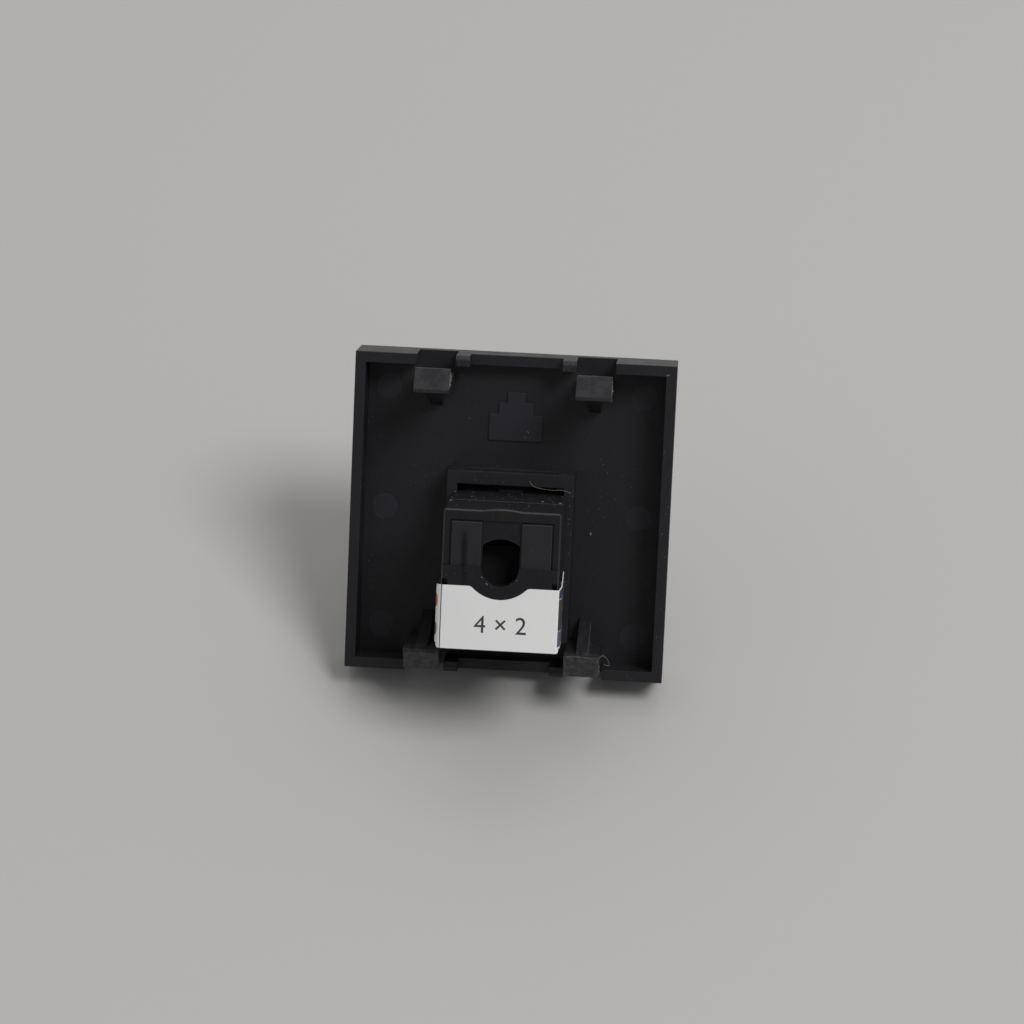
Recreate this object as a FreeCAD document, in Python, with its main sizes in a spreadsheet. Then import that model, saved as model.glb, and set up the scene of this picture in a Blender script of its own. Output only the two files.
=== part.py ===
import FreeCAD, Part
import Sketcher
import math
import os
import re

# Data outlet module: a square snap-in plate, seen from the front along +Y, with a modular jack
# held in a frame on its back. X runs across, Z up, and Y goes back from the plate's front face.

CONTACTS = 8
ROWS = 4

# Driving dimensions in millimetres
SIZES = {
    # Plate
    "plate_side": 45.0,  # side of the square front
    "plate_floor": 2.0,  # thickness of the front wall
    "rim_depth": 8.0,  # front face to the rear edge of the rim
    "rim_wall": 1.5,  # thickness of the rim
    "rim_dip": 4.8,  # depth of the rim between the two middle tabs
    "rim_tab": 1.97,  # width of the tab beside each hook
    "tab_round": 0.7,  # rounding of a tab's outer edge
    "mark_diameter": 3.7,  # ejector mark
    "mark_across": 18.0,  # ejector marks from the middle, sideways
    "mark_up": 17.1,  # ejector marks from the middle, up and down
    "mark_depth": 0.12,  # sinking of an ejector mark
    # Snap hooks
    "hook_offset": 11.2,  # middle of the plate to the middle of a hook
    "hook_width": 4.95,  # width of a hook
    "hook_gap": 0.26,  # room on each side of a hook in the notched rim
    "hook_setback": 4.57,  # plate edge to the inner face of the hook arm
    "hook_arm": 1.7,  # thickness of the hook arm
    "hook_barb": 1.5,  # reach of the barb beyond the arm
    "hook_catch": 12.3,  # front face to the catch face of the barb
    "hook_tip": 0.9,  # rise from the catch face to the top of the barb's edge
    "hook_depth": 15.2,  # front face to the end of the hook
    "hook_nose": 0.55,  # flat at the end of the hook
    "gusset_wall": 1.7,  # thickness of the gusset behind a hook
    "gusset_run": 3.2,  # length of the gusset on the floor
    "gusset_rise": 12.0,  # height of the gusset at the hook
    # Icon moulded into the plate, a stepped plug outline
    "icon_base": 10.1,  # middle of the plate to the icon's lower edge
    "icon_width": 7.5,  # width of the lower block
    "icon_block": 3.8,  # height of the lower block
    "icon_step_width": 4.9,  # width of the middle step
    "icon_step": 1.7,  # height of the middle step
    "icon_tip_width": 2.55,  # width of the top step
    "icon_tip": 1.45,  # height of the top step
    "icon_relief": 0.3,  # height of the icon behind, and depth in front
    # Holder for the jack
    "jack_drop": 6.0,  # plate centre down to the jack's middle
    "aperture_above": 10.6,  # jack's middle to the underside of the snap bar
    "aperture_below": 9.95,  # jack's middle to the lower wall of the holder
    "holder_gap": 0.175,  # room on each side of the jack's body in the holder
    "holder_wall": 1.45,  # side and lower walls of the holder
    "holder_depth": 8.5,  # front face to the rear edge of the holder
    "bar_height": 1.85,  # height of the snap bar and the wall in front of it
    "bar_wall": 1.1,  # thickness of the snap bar
    "bar_slit": 2.2,  # slit that frees the snap bar from the wall
    "bar_span": 13.0,  # free length of the snap bar
    # Fits
    "fit_gap": 0.15,  # room round a piece in its seat
    "seat_gap": 0.1,  # room between faces that meet along the jack
    # Jack housing
    "nose_height": 16.2,  # height of the jack's nose
    "nose_recess": 0.2,  # plate face to the face of the nose
    "body_headroom": 1.1,  # body top to the underside of the snap bar
    "tooth_width": 3.4,  # snap tooth on top of the body
    "tooth_rise": 1.45,  # height of the snap tooth
    "tooth_ramp": 3.4,  # length of the snap tooth's ramp
    "skirt_width": 16.0,  # width of the skirt behind the holder, and of the cap
    "skirt_step": 0.7,  # reach of the skirt beyond nose and body on each side
    "skirt_height": 19.3,  # height of the skirt and of the cap
    "skirt_wall": 1.1,  # thickness of the skirt
    "skirt_end": 16.9,  # front face to the rear edge of the skirt
    "seam_bevel": 0.15,  # bevel on both sides of the seam between skirt and cap
    "board_seat": 12.9,  # front face to the ledge that carries the board
    # Plug opening
    "port_width": 11.8,  # width of the plug opening
    "port_height": 6.9,  # height of the plug opening
    "port_drop": 3.7,  # top of the nose to the top of the plug opening
    "port_depth": 12.0,  # depth of the plug opening
    "port_lip": 1.6,  # front lip above the plug opening
    "catch_width": 6.2,  # wide step for the plug's latch
    "catch_height": 1.5,  # height of the wide step
    "catch_slot_width": 4.0,  # narrow step for the plug's latch
    "catch_slot_height": 1.6,  # height of the narrow step
    # Spring contacts and their carrier
    "contact_pitch": 1.02,  # spacing of the contacts
    "contact_width": 0.36,  # width of a contact
    "contact_wall": 0.3,  # thickness of a contact
    "contact_bend": 0.25,  # outer bend radius at the front of a contact
    "contact_lead": 0.6,  # carrier front to the contact's front bend
    "contact_fall": 1.5,  # drop of the contact's front leg
    "contact_slope": 6.6,  # run of the sloping spring
    "contact_dip": 3.0,  # fall of the sloping spring
    "carrier_wall": 1.0,  # wall of the housing beside the contact carrier
    "carrier_height": 2.5,  # height of the contact carrier
    "carrier_slot": 0.56,  # width of a slot of the comb
    "carrier_slot_rise": 1.5,  # height of a slot of the comb
    # Board, terminal block and terminals
    "board_wall": 1.0,  # thickness of the circuit board
    "board_corner": 0.8,  # cut corner of the circuit board
    "tower_gap": 0.4,  # room between a tower and the cap's side wall
    "tower_width": 3.8,  # width of a tower
    "tower_margin": 0.7,  # tower above and below its outer wire rows
    "tower_length": 5.7,  # skirt's end to the end of a tower
    "spine_top": 1.9,  # plate centre down to the top of the wall between the towers
    "spine_length": 3.7,  # skirt's end to the rear of the wall between the towers
    "row_pitch": 3.2,  # spacing of the wire rows
    "wire_slot": 1.1,  # width of a wire slot
    "wire_slot_floor": 0.8,  # skirt's end to the floor of a wire slot
    "blade_width": 2.1,  # width of a terminal
    "blade_wall": 0.4,  # thickness of a terminal
    "blade_reach": 4.4,  # skirt's end to the tips of a terminal
    "blade_slot": 0.34,  # slot between the tines
    "blade_slot_floor": 1.2,  # skirt's end to the floor of the slot between the tines
    "blade_mouth": 1.0,  # width of the mouth between the tips
    "blade_gap": 0.06,  # room round a terminal in its block
    # Cap
    "cap_depth": 9.0,  # length of the cap from front to back
    "cap_wall": 1.05,  # side walls of the cap
    "cap_back": 2.0,  # rear wall of the cap
    "cap_step": 4.05,  # plate centre down to the step across the cap
    "cap_relief": 0.4,  # sinking of the frame above the step
    "frame_strip": 0.925,  # width of the frame beside the sunk panel
    "panel_top": 2.25,  # plate centre up to the top of the sunk panel
    "panel_relief": 0.45,  # sinking of the panel below the frame
    "pad_width": 4.2,  # width of a pad
    "pad_groove": 0.2,  # groove round a pad
    "pad_rise": 0.58,  # height of a pad above the panel
    "pad_bevel": 0.12,  # bevel of a pad
    "hole_width": 5.07,  # width of the cable hole
    "hole_crown": 3.85,  # radius of the flat arch over the cable hole
    "hole_shoulder": 1.25,  # plate centre down to the springing of the arch
    "hole_centre": 4.15,  # plate centre down to the centre of the round lower end
    "brow_width": 5.3,  # width of the low arch on the cap's top edge
    "brow_rise": 0.25,  # height of the low arch
    "brow_depth": 2.6,  # length of the low arch from the rear
    "arm_wall": 0.34,  # thickness of the arms beside the cap
    "arm_top": 5.9,  # plate centre down to the top of the arms
    "arm_foot": 0.25,  # underside of the cap to the foot of the arms
    "arm_setback": 1.2,  # rear face of the cap to the rear end of the arms
    "notch_width": 0.7,  # notch between an arm and the cap's middle
    "notch_height": 1.6,  # height of the notch
    "notch_depth": 1.3,  # depth of the notch
    "comb_depth": 3.4,  # depth of the wire slots in the cap's sides
    "cap_edge": 0.22,  # bevel of the outer edges of skirt and cap
    # Label
    "label_wall": 0.12,  # thickness of the label
    "label_top": 6.75,  # plate centre down to the label's upper edge
    "label_foot": 0.15,  # underside of the cap to the label's lower edge
    "label_wrap": 5.2,  # depth of the label on the cap's sides
    "label_air": 0.03,  # room between the label and the arms
    "label_arc": 5.15,  # radius of the label's cut-out round the cable hole
    "label_arc_centre": 3.35,  # plate centre down to the centre of the cut-out
    "label_corner": 0.5,  # rounding of the corners of the label's flaps
}

doc = FreeCAD.newDocument("data_outlet_module")
sheet = doc.addObject("Spreadsheet::Sheet", "sizes")
for row, (alias, value) in enumerate(SIZES.items(), 1):
    sheet.set(f"A{row}", alias)
    sheet.set(f"B{row}", str(value))
    sheet.setAlias(f"B{row}", alias)
doc.recompute()


def bind(text):
    """An expression over the sheet, from plain words and numbers."""
    return re.sub(r"[a-z][a-z0-9_]*", r"sizes.\g<0>", text)


def new_body(label):
    body = doc.addObject("PartDesign::Body", label)
    body.Label = label
    return body


def plane_of(body, role):
    return next(item for item in body.Origin.OriginFeatures if item.Role == role)


def new_sketch(body, name, role, level):
    """An empty sketch on an origin plane of the body, shifted along the plane's normal."""
    sketch = body.newObject("Sketcher::SketchObject", name)
    sketch.AttachmentSupport = [(plane_of(body, role), "")]
    sketch.MapMode = "FlatFace"
    sketch.setExpression("AttachmentOffset.Base.z", bind(level))
    return sketch


def fix_point(sketch, geometry, point, across, up):
    """Tie a point of the sketch to two expressions, measured from the sketch's origin."""
    place = sketch.getPoint(geometry, point)
    for kind, text, start in (("DistanceX", across, place.x), ("DistanceY", up, place.y)):
        index = sketch.addConstraint(Sketcher.Constraint(kind, -1, 1, geometry, point, start))
        sketch.setExpression(f"Constraints[{index}]", bind(text))


def add_outline(sketch, corners):
    """A closed outline of straight edges whose corners are pairs of expressions."""
    count = len(corners)
    first = sketch.GeometryCount
    turns = [2 * math.pi * index / count for index in range(count)]
    start = [FreeCAD.Vector(10 * math.cos(turn), 10 * math.sin(turn), 0) for turn in turns]
    for index in range(count):
        sketch.addGeometry(Part.LineSegment(start[index], start[(index + 1) % count]))
    for index in range(count):
        following = first + (index + 1) % count
        sketch.addConstraint(Sketcher.Constraint("Coincident", first + index, 2, following, 1))
    for index, (across, up) in enumerate(corners):
        fix_point(sketch, first + index, 1, across, up)


def add_circle(sketch, across, up, radius):
    circle = sketch.addGeometry(Part.Circle(FreeCAD.Vector(0, 0, 0), FreeCAD.Vector(0, 0, 1), 1))
    fix_point(sketch, circle, 3, across, up)
    index = sketch.addConstraint(Sketcher.Constraint("Radius", circle, 1))
    sketch.setExpression(f"Constraints[{index}]", bind(radius))


def rectangle(left, right, low, high):
    return [(left, low), (right, low), (right, high), (left, high)]


def centred(width, low, high):
    return rectangle(f"-({width}) / 2", f"({width}) / 2", low, high)


def outline(body, name, role, level, corners):
    sketch = new_sketch(body, name, role, level)
    add_outline(sketch, corners)
    return sketch


def facing(body, name, depth, corners):
    """An outline seen from the front, at a depth behind the plate's face."""
    return outline(body, name, "XZ_Plane", f"-({depth})", corners)


def sideways(body, name, across, corners):
    """An outline seen from the side, with depth and height as its axes."""
    return outline(body, name, "YZ_Plane", across, corners)


def feature(body, kind, sketch, length, reverse, name):
    made = body.newObject("PartDesign::" + kind, name)
    made.Profile = sketch
    made.Reversed = reverse
    if length is None:
        made.Type = "ThroughAll"
    else:
        made.setExpression("Length", bind(length))
    body.Tip = made
    doc.recompute()
    return made


def grow_back(body, sketch, length, name):
    return feature(body, "Pad", sketch, length, True, name)


def cut_back(body, sketch, length, name):
    return feature(body, "Pocket", sketch, length, False, name)


def cut_forward(body, sketch, length, name):
    return feature(body, "Pocket", sketch, length, True, name)


def grow_across(body, sketch, length, name):
    return feature(body, "Pad", sketch, length, False, name)


def cut_across(body, sketch, length, name):
    return feature(body, "Pocket", sketch, length, True, name)


def mirror(body, originals, role, name):
    made = body.newObject("PartDesign::Mirrored", name)
    made.Originals = originals
    made.MirrorPlane = (plane_of(body, role), [""])
    body.Tip = made
    doc.recompute()
    return made


def repeat_each(body, originals, steps, name):
    """Copies of features made by one pattern after another."""
    made = body.newObject("PartDesign::MultiTransform", name)
    made.Originals = originals
    made.Transformations = steps
    body.Tip = made
    doc.recompute()
    return made


def mirror_step(body, role, name):
    step = body.newObject("PartDesign::Mirrored", name)
    step.MirrorPlane = (plane_of(body, role), [""])
    return step


def row_step(body, axis, length, count, name):
    step = body.newObject("PartDesign::LinearPattern", name)
    step.Direction = (next(item for item in body.Origin.OriginFeatures if item.Role == axis), [""])
    step.setExpression("Length", bind(length))
    step.Occurrences = count
    return step


def edges_where(shape, test):
    return [f"Edge{index}" for index, edge in enumerate(shape.Edges, 1) if test(edge)]


def dress(body, kind, test, name, measure):
    """Round or bevel the edges of the body that pass a test."""
    base = body.Tip
    made = body.newObject("PartDesign::" + kind, name)
    made.Base = (base, edges_where(base.Shape, test))
    made.setExpression("Radius" if kind == "Fillet" else "Size", bind(measure))
    body.Tip = made
    doc.recompute()
    return made


def near(value, target):
    return abs(value - target) < 1e-4


def runs_along(edge, axis):
    """True for a straight edge along X, Y or Z, given as 0, 1 or 2."""
    if not isinstance(edge.Curve, Part.Line):
        return False
    return near(abs(edge.Curve.Direction[axis]), 1)


def is_round(edge):
    return isinstance(edge.Curve, Part.Circle)


# Heights and depths that several pieces share
half_side = "plate_side / 2"
nose_width = "(skirt_width - 2 * skirt_step)"
aperture_width = "(skirt_width - 2 * skirt_step + 2 * holder_gap)"
bar_under = "(aperture_above - jack_drop)"
aperture_foot = "(-aperture_below - jack_drop)"
nose_top = "(nose_height / 2 - jack_drop)"
nose_foot = "(-nose_height / 2 - jack_drop)"
body_front = "(plate_floor + seat_gap)"
body_top = "(aperture_above - jack_drop - body_headroom)"
body_foot = "(-aperture_below - jack_drop + fit_gap)"
skirt_front = "(holder_depth + seat_gap)"
skirt_top = "(skirt_height / 2 - jack_drop)"
skirt_foot = "(-skirt_height / 2 - jack_drop)"
port_top = "(nose_height / 2 - jack_drop - port_drop)"
inner_width = "(skirt_width - 2 * skirt_wall - 2 * fit_gap)"
inner_top = "(skirt_height / 2 - skirt_wall - fit_gap - jack_drop)"
inner_foot = "(-skirt_height / 2 + skirt_wall + fit_gap - jack_drop)"
board_back = "(board_seat + board_wall)"
cap_front = "(skirt_end + seat_gap)"
cap_end = "(skirt_end + seat_gap + cap_depth)"
arm_end = "(skirt_end + seat_gap + cap_depth - arm_setback)"
carrier_room_width = "(skirt_width - 2 * skirt_step - 2 * carrier_wall)"
carrier_front = "(nose_recess + port_lip + fit_gap)"
tower_outer = "(skirt_width / 2 - cap_wall - tower_gap)"
tower_inner = "(skirt_width / 2 - cap_wall - tower_gap - tower_width)"
tower_end = "(skirt_end + tower_length)"
blade_end = "(skirt_end + blade_reach)"
blade_offset = "(skirt_width / 2 - cap_wall - tower_gap - tower_width / 2)"
panel_width = "(skirt_width - 2 * frame_strip)"


def row_height(row):
    """Height of a wire row, counted up from the lowest."""
    return f"({row - (ROWS - 1) / 2} * row_pitch - jack_drop)"


# Plate: a shallow square tray with a rim, notched at the hooks and lower between the tabs
plate = new_body("faceplate")
whole = centred("plate_side", f"-{half_side}", half_side)
grow_back(plate, facing(plate, "front_outline", "0", whole), "rim_depth", "front_block")
tray_side = "plate_side - 2 * rim_wall"
tray = centred(tray_side, f"-({tray_side}) / 2", f"({tray_side}) / 2")
cut_back(plate, facing(plate, "tray_outline", "plate_floor", tray), None, "tray")

rim_inner = "plate_side / 2 - rim_wall"
dip_width = "2 * (hook_offset - hook_width / 2 - hook_gap - rim_tab)"
dip = facing(plate, "dip_outline", "rim_dip", centred(dip_width, rim_inner, half_side))
dip_cut = cut_back(plate, dip, None, "rim_dip_cut")
mirror(plate, [dip_cut], "XY_Plane", "both_dips")

notch = rectangle(
    "hook_offset - hook_width / 2 - hook_gap", "hook_offset + hook_width / 2 + hook_gap", rim_inner, half_side
)
notch_cut = cut_back(plate, facing(plate, "notch_outline", "plate_floor", notch), None, "hook_notch")

hook_inner = "(plate_side / 2 - hook_setback)"
hook_outer = "(plate_side / 2 - hook_setback + hook_arm)"
hook_profile = [
    ("plate_floor", hook_inner),
    ("hook_depth", hook_inner),
    ("hook_depth", f"{hook_inner} + hook_nose"),
    ("hook_catch + hook_tip", f"{hook_outer} + hook_barb"),
    ("hook_catch", f"{hook_outer} + hook_barb"),
    ("hook_catch", hook_outer),
    ("plate_floor", hook_outer),
]
hook_sketch = sideways(plate, "hook_profile", "hook_offset - hook_width / 2", hook_profile)
hook = grow_across(plate, hook_sketch, "hook_width", "hook")

gusset_profile = [
    ("plate_floor", hook_inner),
    ("plate_floor", f"{hook_inner} - gusset_run"),
    ("plate_floor + gusset_rise", hook_inner),
]
gusset_sketch = sideways(plate, "gusset_profile", "hook_offset - gusset_wall / 2", gusset_profile)
gusset = grow_across(plate, gusset_sketch, "gusset_wall", "gusset")
hook_steps = [mirror_step(plate, "YZ_Plane", "hooks_across"), mirror_step(plate, "XY_Plane", "hooks_down")]
repeat_each(plate, [notch_cut, hook, gusset], hook_steps, "four_hooks")


def on_tab(edge):
    """The outer rear edge of each tab between a hook and the lower rim."""
    middle = edge.CenterOfMass
    at_rim = near(middle.y, sheet.rim_depth) and near(abs(middle.z), sheet.plate_side / 2)
    return at_rim and runs_along(edge, 0) and near(edge.Length, sheet.rim_tab)


dress(plate, "Fillet", on_tab, "tab_edges", "tab_round")

# Holder: a rectangular frame on the plate's back, closed above by a springy snap bar
bar_top = "(aperture_above - jack_drop + bar_height)"
frame_rim = centred(f"{aperture_width} + 2 * holder_wall", f"{aperture_foot} - holder_wall", bar_top)
frame_sketch = facing(plate, "holder_outline", "plate_floor", frame_rim)
grow_back(plate, frame_sketch, "holder_depth - plate_floor", "holder")
aperture = centred(aperture_width, aperture_foot, bar_under)
cut_back(plate, facing(plate, "aperture_outline", "plate_floor", aperture), None, "aperture")
window = centred(f"{nose_width} + 2 * fit_gap", f"{nose_foot} - fit_gap", f"{nose_top} + fit_gap")
cut_back(plate, facing(plate, "window_outline", "0", window), None, "window")

# Pocket behind the wall in front of the snap bar, where the jack's tooth lies
tooth_room = centred("tooth_width + 2 * fit_gap", bar_under, f"{body_top} + tooth_rise + fit_gap")
tooth_sketch = facing(plate, "tooth_room_outline", "plate_floor", tooth_room)
cut_back(plate, tooth_sketch, "holder_depth - bar_wall - plate_floor", "tooth_room")
slit = centred("bar_span", "holder_depth - bar_wall - bar_slit", "holder_depth - bar_wall")
slit_sketch = outline(plate, "slit_outline", "XY_Plane", bar_under, slit)
feature(plate, "Pocket", slit_sketch, "bar_height", True, "bar_slit_cut")

# Ejector marks and the icon, raised behind and sunk in front
marks = new_sketch(plate, "mark_circles", "XZ_Plane", "-plate_floor")
for side in (-1, 1):
    for level in (-1, 0, 1):
        add_circle(marks, f"{side} * mark_across", f"{level} * mark_up", "mark_diameter / 2")
cut_forward(plate, marks, "mark_depth", "ejector_marks")

icon_first = "icon_base + icon_block"
icon_second = f"{icon_first} + icon_step"
icon_right = [
    ("icon_width / 2", "icon_base"),
    ("icon_width / 2", icon_first),
    ("icon_step_width / 2", icon_first),
    ("icon_step_width / 2", icon_second),
    ("icon_tip_width / 2", icon_second),
    ("icon_tip_width / 2", f"{icon_second} + icon_tip"),
]
icon = icon_right + [(f"-({across})", up) for across, up in reversed(icon_right)]
grow_back(plate, facing(plate, "icon_behind", "plate_floor", icon), "icon_relief", "raised_icon")
cut_back(plate, facing(plate, "icon_in_front", "0", icon), "icon_relief", "sunk_icon")

# Jack housing: nose in the window, body in the holder, and a skirt behind for board and terminals
housing = new_body("jack_housing")
nose = facing(housing, "nose_outline", "nose_recess", centred(nose_width, nose_foot, nose_top))
grow_back(housing, nose, f"{body_front} - nose_recess", "nose")
trunk = facing(housing, "trunk_outline", body_front, centred(nose_width, body_foot, body_top))
grow_back(housing, trunk, f"{skirt_front} - {body_front}", "trunk")
skirt = facing(housing, "skirt_outline", skirt_front, centred("skirt_width", skirt_foot, skirt_top))
grow_back(housing, skirt, f"skirt_end - {skirt_front}", "skirt")

tooth_back = "(holder_depth - bar_wall - fit_gap)"
tooth_profile = [
    (f"{tooth_back} - tooth_ramp", body_top),
    (tooth_back, body_top),
    (tooth_back, f"{body_top} + tooth_rise"),
]
tooth = sideways(housing, "tooth_profile", "-tooth_width / 2", tooth_profile)
grow_across(housing, tooth, "tooth_width", "snap_tooth")

port_foot = f"{port_top} - port_height"
catch_foot = f"{port_foot} - catch_height"
port_right = [
    ("port_width / 2", port_top),
    ("port_width / 2", port_foot),
    ("catch_width / 2", port_foot),
    ("catch_width / 2", catch_foot),
    ("catch_slot_width / 2", catch_foot),
    ("catch_slot_width / 2", f"{catch_foot} - catch_slot_height"),
]
port = port_right + [(f"-({across})", up) for across, up in reversed(port_right)]
cut_back(housing, facing(housing, "port_outline", "nose_recess", port), "port_depth", "plug_opening")

carrier_room = centred(carrier_room_width, port_top, f"{port_top} + carrier_height + 2 * fit_gap")
carrier_sketch = facing(housing, "carrier_room_outline", "nose_recess + port_lip", carrier_room)
cut_back(housing, carrier_sketch, None, "carrier_room")
skirt_room = centred(f"{inner_width} + 2 * fit_gap", f"{inner_foot} - fit_gap", f"{inner_top} + fit_gap")
cut_back(housing, facing(housing, "skirt_room_outline", "board_seat", skirt_room), None, "skirt_room")

# Bevelled corners that skirt and cap share, and the seam between them
outer_side = sheet.skirt_width / 2
outer_top = sheet.skirt_height / 2 - sheet.jack_drop
outer_foot = -sheet.skirt_height / 2 - sheet.jack_drop


def long_edge(edge):
    """A corner of skirt or cap that runs from front to back."""
    middle = edge.CenterOfMass
    at_end = near(middle.z, outer_top) or near(middle.z, outer_foot)
    return runs_along(edge, 1) and near(abs(middle.x), outer_side) and at_end


def seam_edge(depth):
    """A test for the upper edge of the seam at a depth."""

    def on_seam(edge):
        middle = edge.CenterOfMass
        return near(middle.y, depth) and near(middle.z, outer_top)

    return on_seam


dress(housing, "Chamfer", long_edge, "skirt_edges", "cap_edge")
dress(housing, "Chamfer", seam_edge(sheet.skirt_end), "skirt_seam", "seam_bevel")

# Contact carrier: a comb slid in from behind, above the plug opening
carrier = new_body("contact_carrier")
comb_foot = f"{port_top} + fit_gap"
comb = centred(f"{carrier_room_width} - 2 * fit_gap", comb_foot, f"{comb_foot} + carrier_height")
comb_sketch = facing(carrier, "comb_outline", carrier_front, comb)
grow_back(carrier, comb_sketch, f"board_seat - {carrier_front}", "comb_block")
first_slot = rectangle(
    f"-{(CONTACTS - 1) / 2} * contact_pitch - carrier_slot / 2",
    f"-{(CONTACTS - 1) / 2} * contact_pitch + carrier_slot / 2",
    comb_foot,
    f"{comb_foot} + carrier_slot_rise",
)
slot_sketch = facing(carrier, "first_slot_outline", carrier_front, first_slot)
slot_cut = cut_back(carrier, slot_sketch, None, "first_slot")
slot_row = row_step(carrier, "X_Axis", f"{CONTACTS - 1} * contact_pitch", CONTACTS, "slot_row")
slot_row.Originals = [slot_cut]
carrier.Tip = slot_row
doc.recompute()

# Spring contacts: flat wire that runs forward in the comb, turns down and slopes back into the opening
contact_roof = f"({comb_foot} + carrier_slot_rise - blade_gap)"
contact_nose = f"({carrier_front} + contact_lead)"
elbow = f"{contact_roof} - contact_fall"
contact_profile = [
    ("board_seat", contact_roof),
    (contact_nose, contact_roof),
    (contact_nose, elbow),
    (f"{contact_nose} + contact_slope", f"{elbow} - contact_dip"),
    (f"{contact_nose} + contact_slope", f"{elbow} - contact_dip + contact_wall"),
    (f"{contact_nose} + contact_wall", f"{elbow} + contact_wall / 2"),
    (f"{contact_nose} + contact_wall", f"{contact_roof} - contact_wall"),
    ("board_seat", f"{contact_roof} - contact_wall"),
]
bend_front = sheet.nose_recess + sheet.port_lip + sheet.fit_gap + sheet.contact_lead


def at_front_bend(edge):
    return runs_along(edge, 0) and near(edge.CenterOfMass.y, bend_front)


for number in range(1, CONTACTS + 1):
    contact = new_body(f"contact_{number}")
    across = f"{number - (CONTACTS + 1) / 2} * contact_pitch - contact_width / 2"
    wire = sideways(contact, f"wire_profile_{number}", across, contact_profile)
    grow_across(contact, wire, "contact_width", f"wire_{number}")
    dress(contact, "Fillet", at_front_bend, f"wire_bend_{number}", "contact_bend")

# Circuit board on the ledge in the skirt
board = new_body("circuit_board")
board_outline = centred(inner_width, inner_foot, inner_top)
grow_back(board, facing(board, "board_outline", "board_seat", board_outline), "board_wall", "board_blank")
dress(board, "Chamfer", lambda edge: runs_along(edge, 1), "board_corners", "board_corner")

# Terminal block: a base in the skirt, two towers for the wires and a wall between them
block = new_body("idc_block")
base = facing(block, "base_outline", board_back, centred(inner_width, inner_foot, inner_top))
grow_back(block, base, f"skirt_end - {board_back}", "base")
tower_top = f"({ROWS} * row_pitch / 2 + tower_margin - jack_drop)"
tower_foot = f"(-{ROWS} * row_pitch / 2 - tower_margin - jack_drop)"
tower_outline = rectangle(tower_inner, tower_outer, tower_foot, tower_top)
tower = grow_back(
    block, facing(block, "tower_outline", "skirt_end", tower_outline), "tower_length", "tower"
)
mirror(block, [tower], "YZ_Plane", "both_towers")
spine = facing(block, "spine_outline", "skirt_end", centred(f"2 * {tower_inner}", tower_foot, "-spine_top"))
grow_back(block, spine, "spine_length", "spine")

wire_low = f"{row_height(0)} - wire_slot / 2"
wire_high = f"{row_height(0)} + wire_slot / 2"
slot_outline = rectangle("skirt_end + wire_slot_floor", tower_end, wire_low, wire_high)
wire_sketch = sideways(block, "wire_slot_outline", tower_inner, slot_outline)
wire_cut = cut_across(block, wire_sketch, "tower_width", "wire_slot_cut")
blade_room = rectangle(
    f"{blade_offset} - blade_wall / 2 - blade_gap",
    f"{blade_offset} + blade_wall / 2 + blade_gap",
    f"{row_height(0)} - blade_width / 2 - blade_gap",
    f"{row_height(0)} + blade_width / 2 + blade_gap",
)
room_sketch = facing(block, "blade_room_outline", board_back, blade_room)
room_cut = cut_back(block, room_sketch, f"{blade_end} + blade_gap - {board_back}", "blade_room")
row_length = f"{ROWS - 1} * row_pitch"
block_steps = [
    row_step(block, "Z_Axis", row_length, ROWS, "rows_up"),
    mirror_step(block, "YZ_Plane", "rows_across"),
]
repeat_each(block, [wire_cut, room_cut], block_steps, "wire_rows")

# Wire terminals: flat forks on the board, with a slot between two tines
fork_floor = "skirt_end + blade_slot_floor"
for index in range(2 * ROWS):
    column = index // ROWS
    middle = row_height(index % ROWS)
    fork = new_body(f"idc_{index + 1}")
    lower_tine = [
        (board_back, f"{middle} - blade_width / 2"),
        (blade_end, f"{middle} - blade_width / 2"),
        (blade_end, f"{middle} - blade_mouth / 2"),
        (f"{blade_end} - blade_mouth / 2", f"{middle} - blade_slot / 2"),
        (fork_floor, f"{middle} - blade_slot / 2"),
    ]
    upper_tine = [
        (fork_floor, f"{middle} + blade_slot / 2"),
        (f"{blade_end} - blade_mouth / 2", f"{middle} + blade_slot / 2"),
        (blade_end, f"{middle} + blade_mouth / 2"),
        (blade_end, f"{middle} + blade_width / 2"),
        (board_back, f"{middle} + blade_width / 2"),
    ]
    across = f"{2 * column - 1} * {blade_offset} - blade_wall / 2"
    tines = sideways(fork, f"fork_profile_{index + 1}", across, lower_tine + upper_tine)
    grow_across(fork, tines, "blade_wall", f"fork_{index + 1}")

# Cap: a hollow box over the terminals, stepped and rounded behind, with arms beside its lower half
cap = new_body("wire_cap")
shell = facing(cap, "shell_outline", cap_front, centred("skirt_width", skirt_foot, skirt_top))
grow_back(cap, shell, "cap_depth", "shell")

brow = new_sketch(cap, "brow_outline", "XZ_Plane", f"-({cap_end} - brow_depth)")
brow_half = sheet.brow_width / 2
brow_level = sheet.skirt_height / 2 - sheet.jack_drop
brow_radius = (brow_half ** 2 + sheet.brow_rise ** 2) / (2 * sheet.brow_rise)
brow_turn = math.asin(brow_half / brow_radius)
brow_ring = Part.Circle(
    FreeCAD.Vector(0, brow_level + sheet.brow_rise - brow_radius, 0), FreeCAD.Vector(0, 0, 1), brow_radius
)
brow_arc = Part.ArcOfCircle(brow_ring, math.pi / 2 - brow_turn, math.pi / 2 + brow_turn)
brow_left = FreeCAD.Vector(-brow_half, brow_level, 0)
brow_right = FreeCAD.Vector(brow_half, brow_level, 0)
brow_chord = Part.LineSegment(brow_left, brow_right)
brow.addGeometry(brow_arc)
brow.addGeometry(brow_chord)
brow.addConstraint(Sketcher.Constraint("Coincident", 0, 2, 1, 1))
brow.addConstraint(Sketcher.Constraint("Coincident", 0, 1, 1, 2))
fix_point(brow, 1, 1, "-brow_width / 2", skirt_top)
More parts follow.
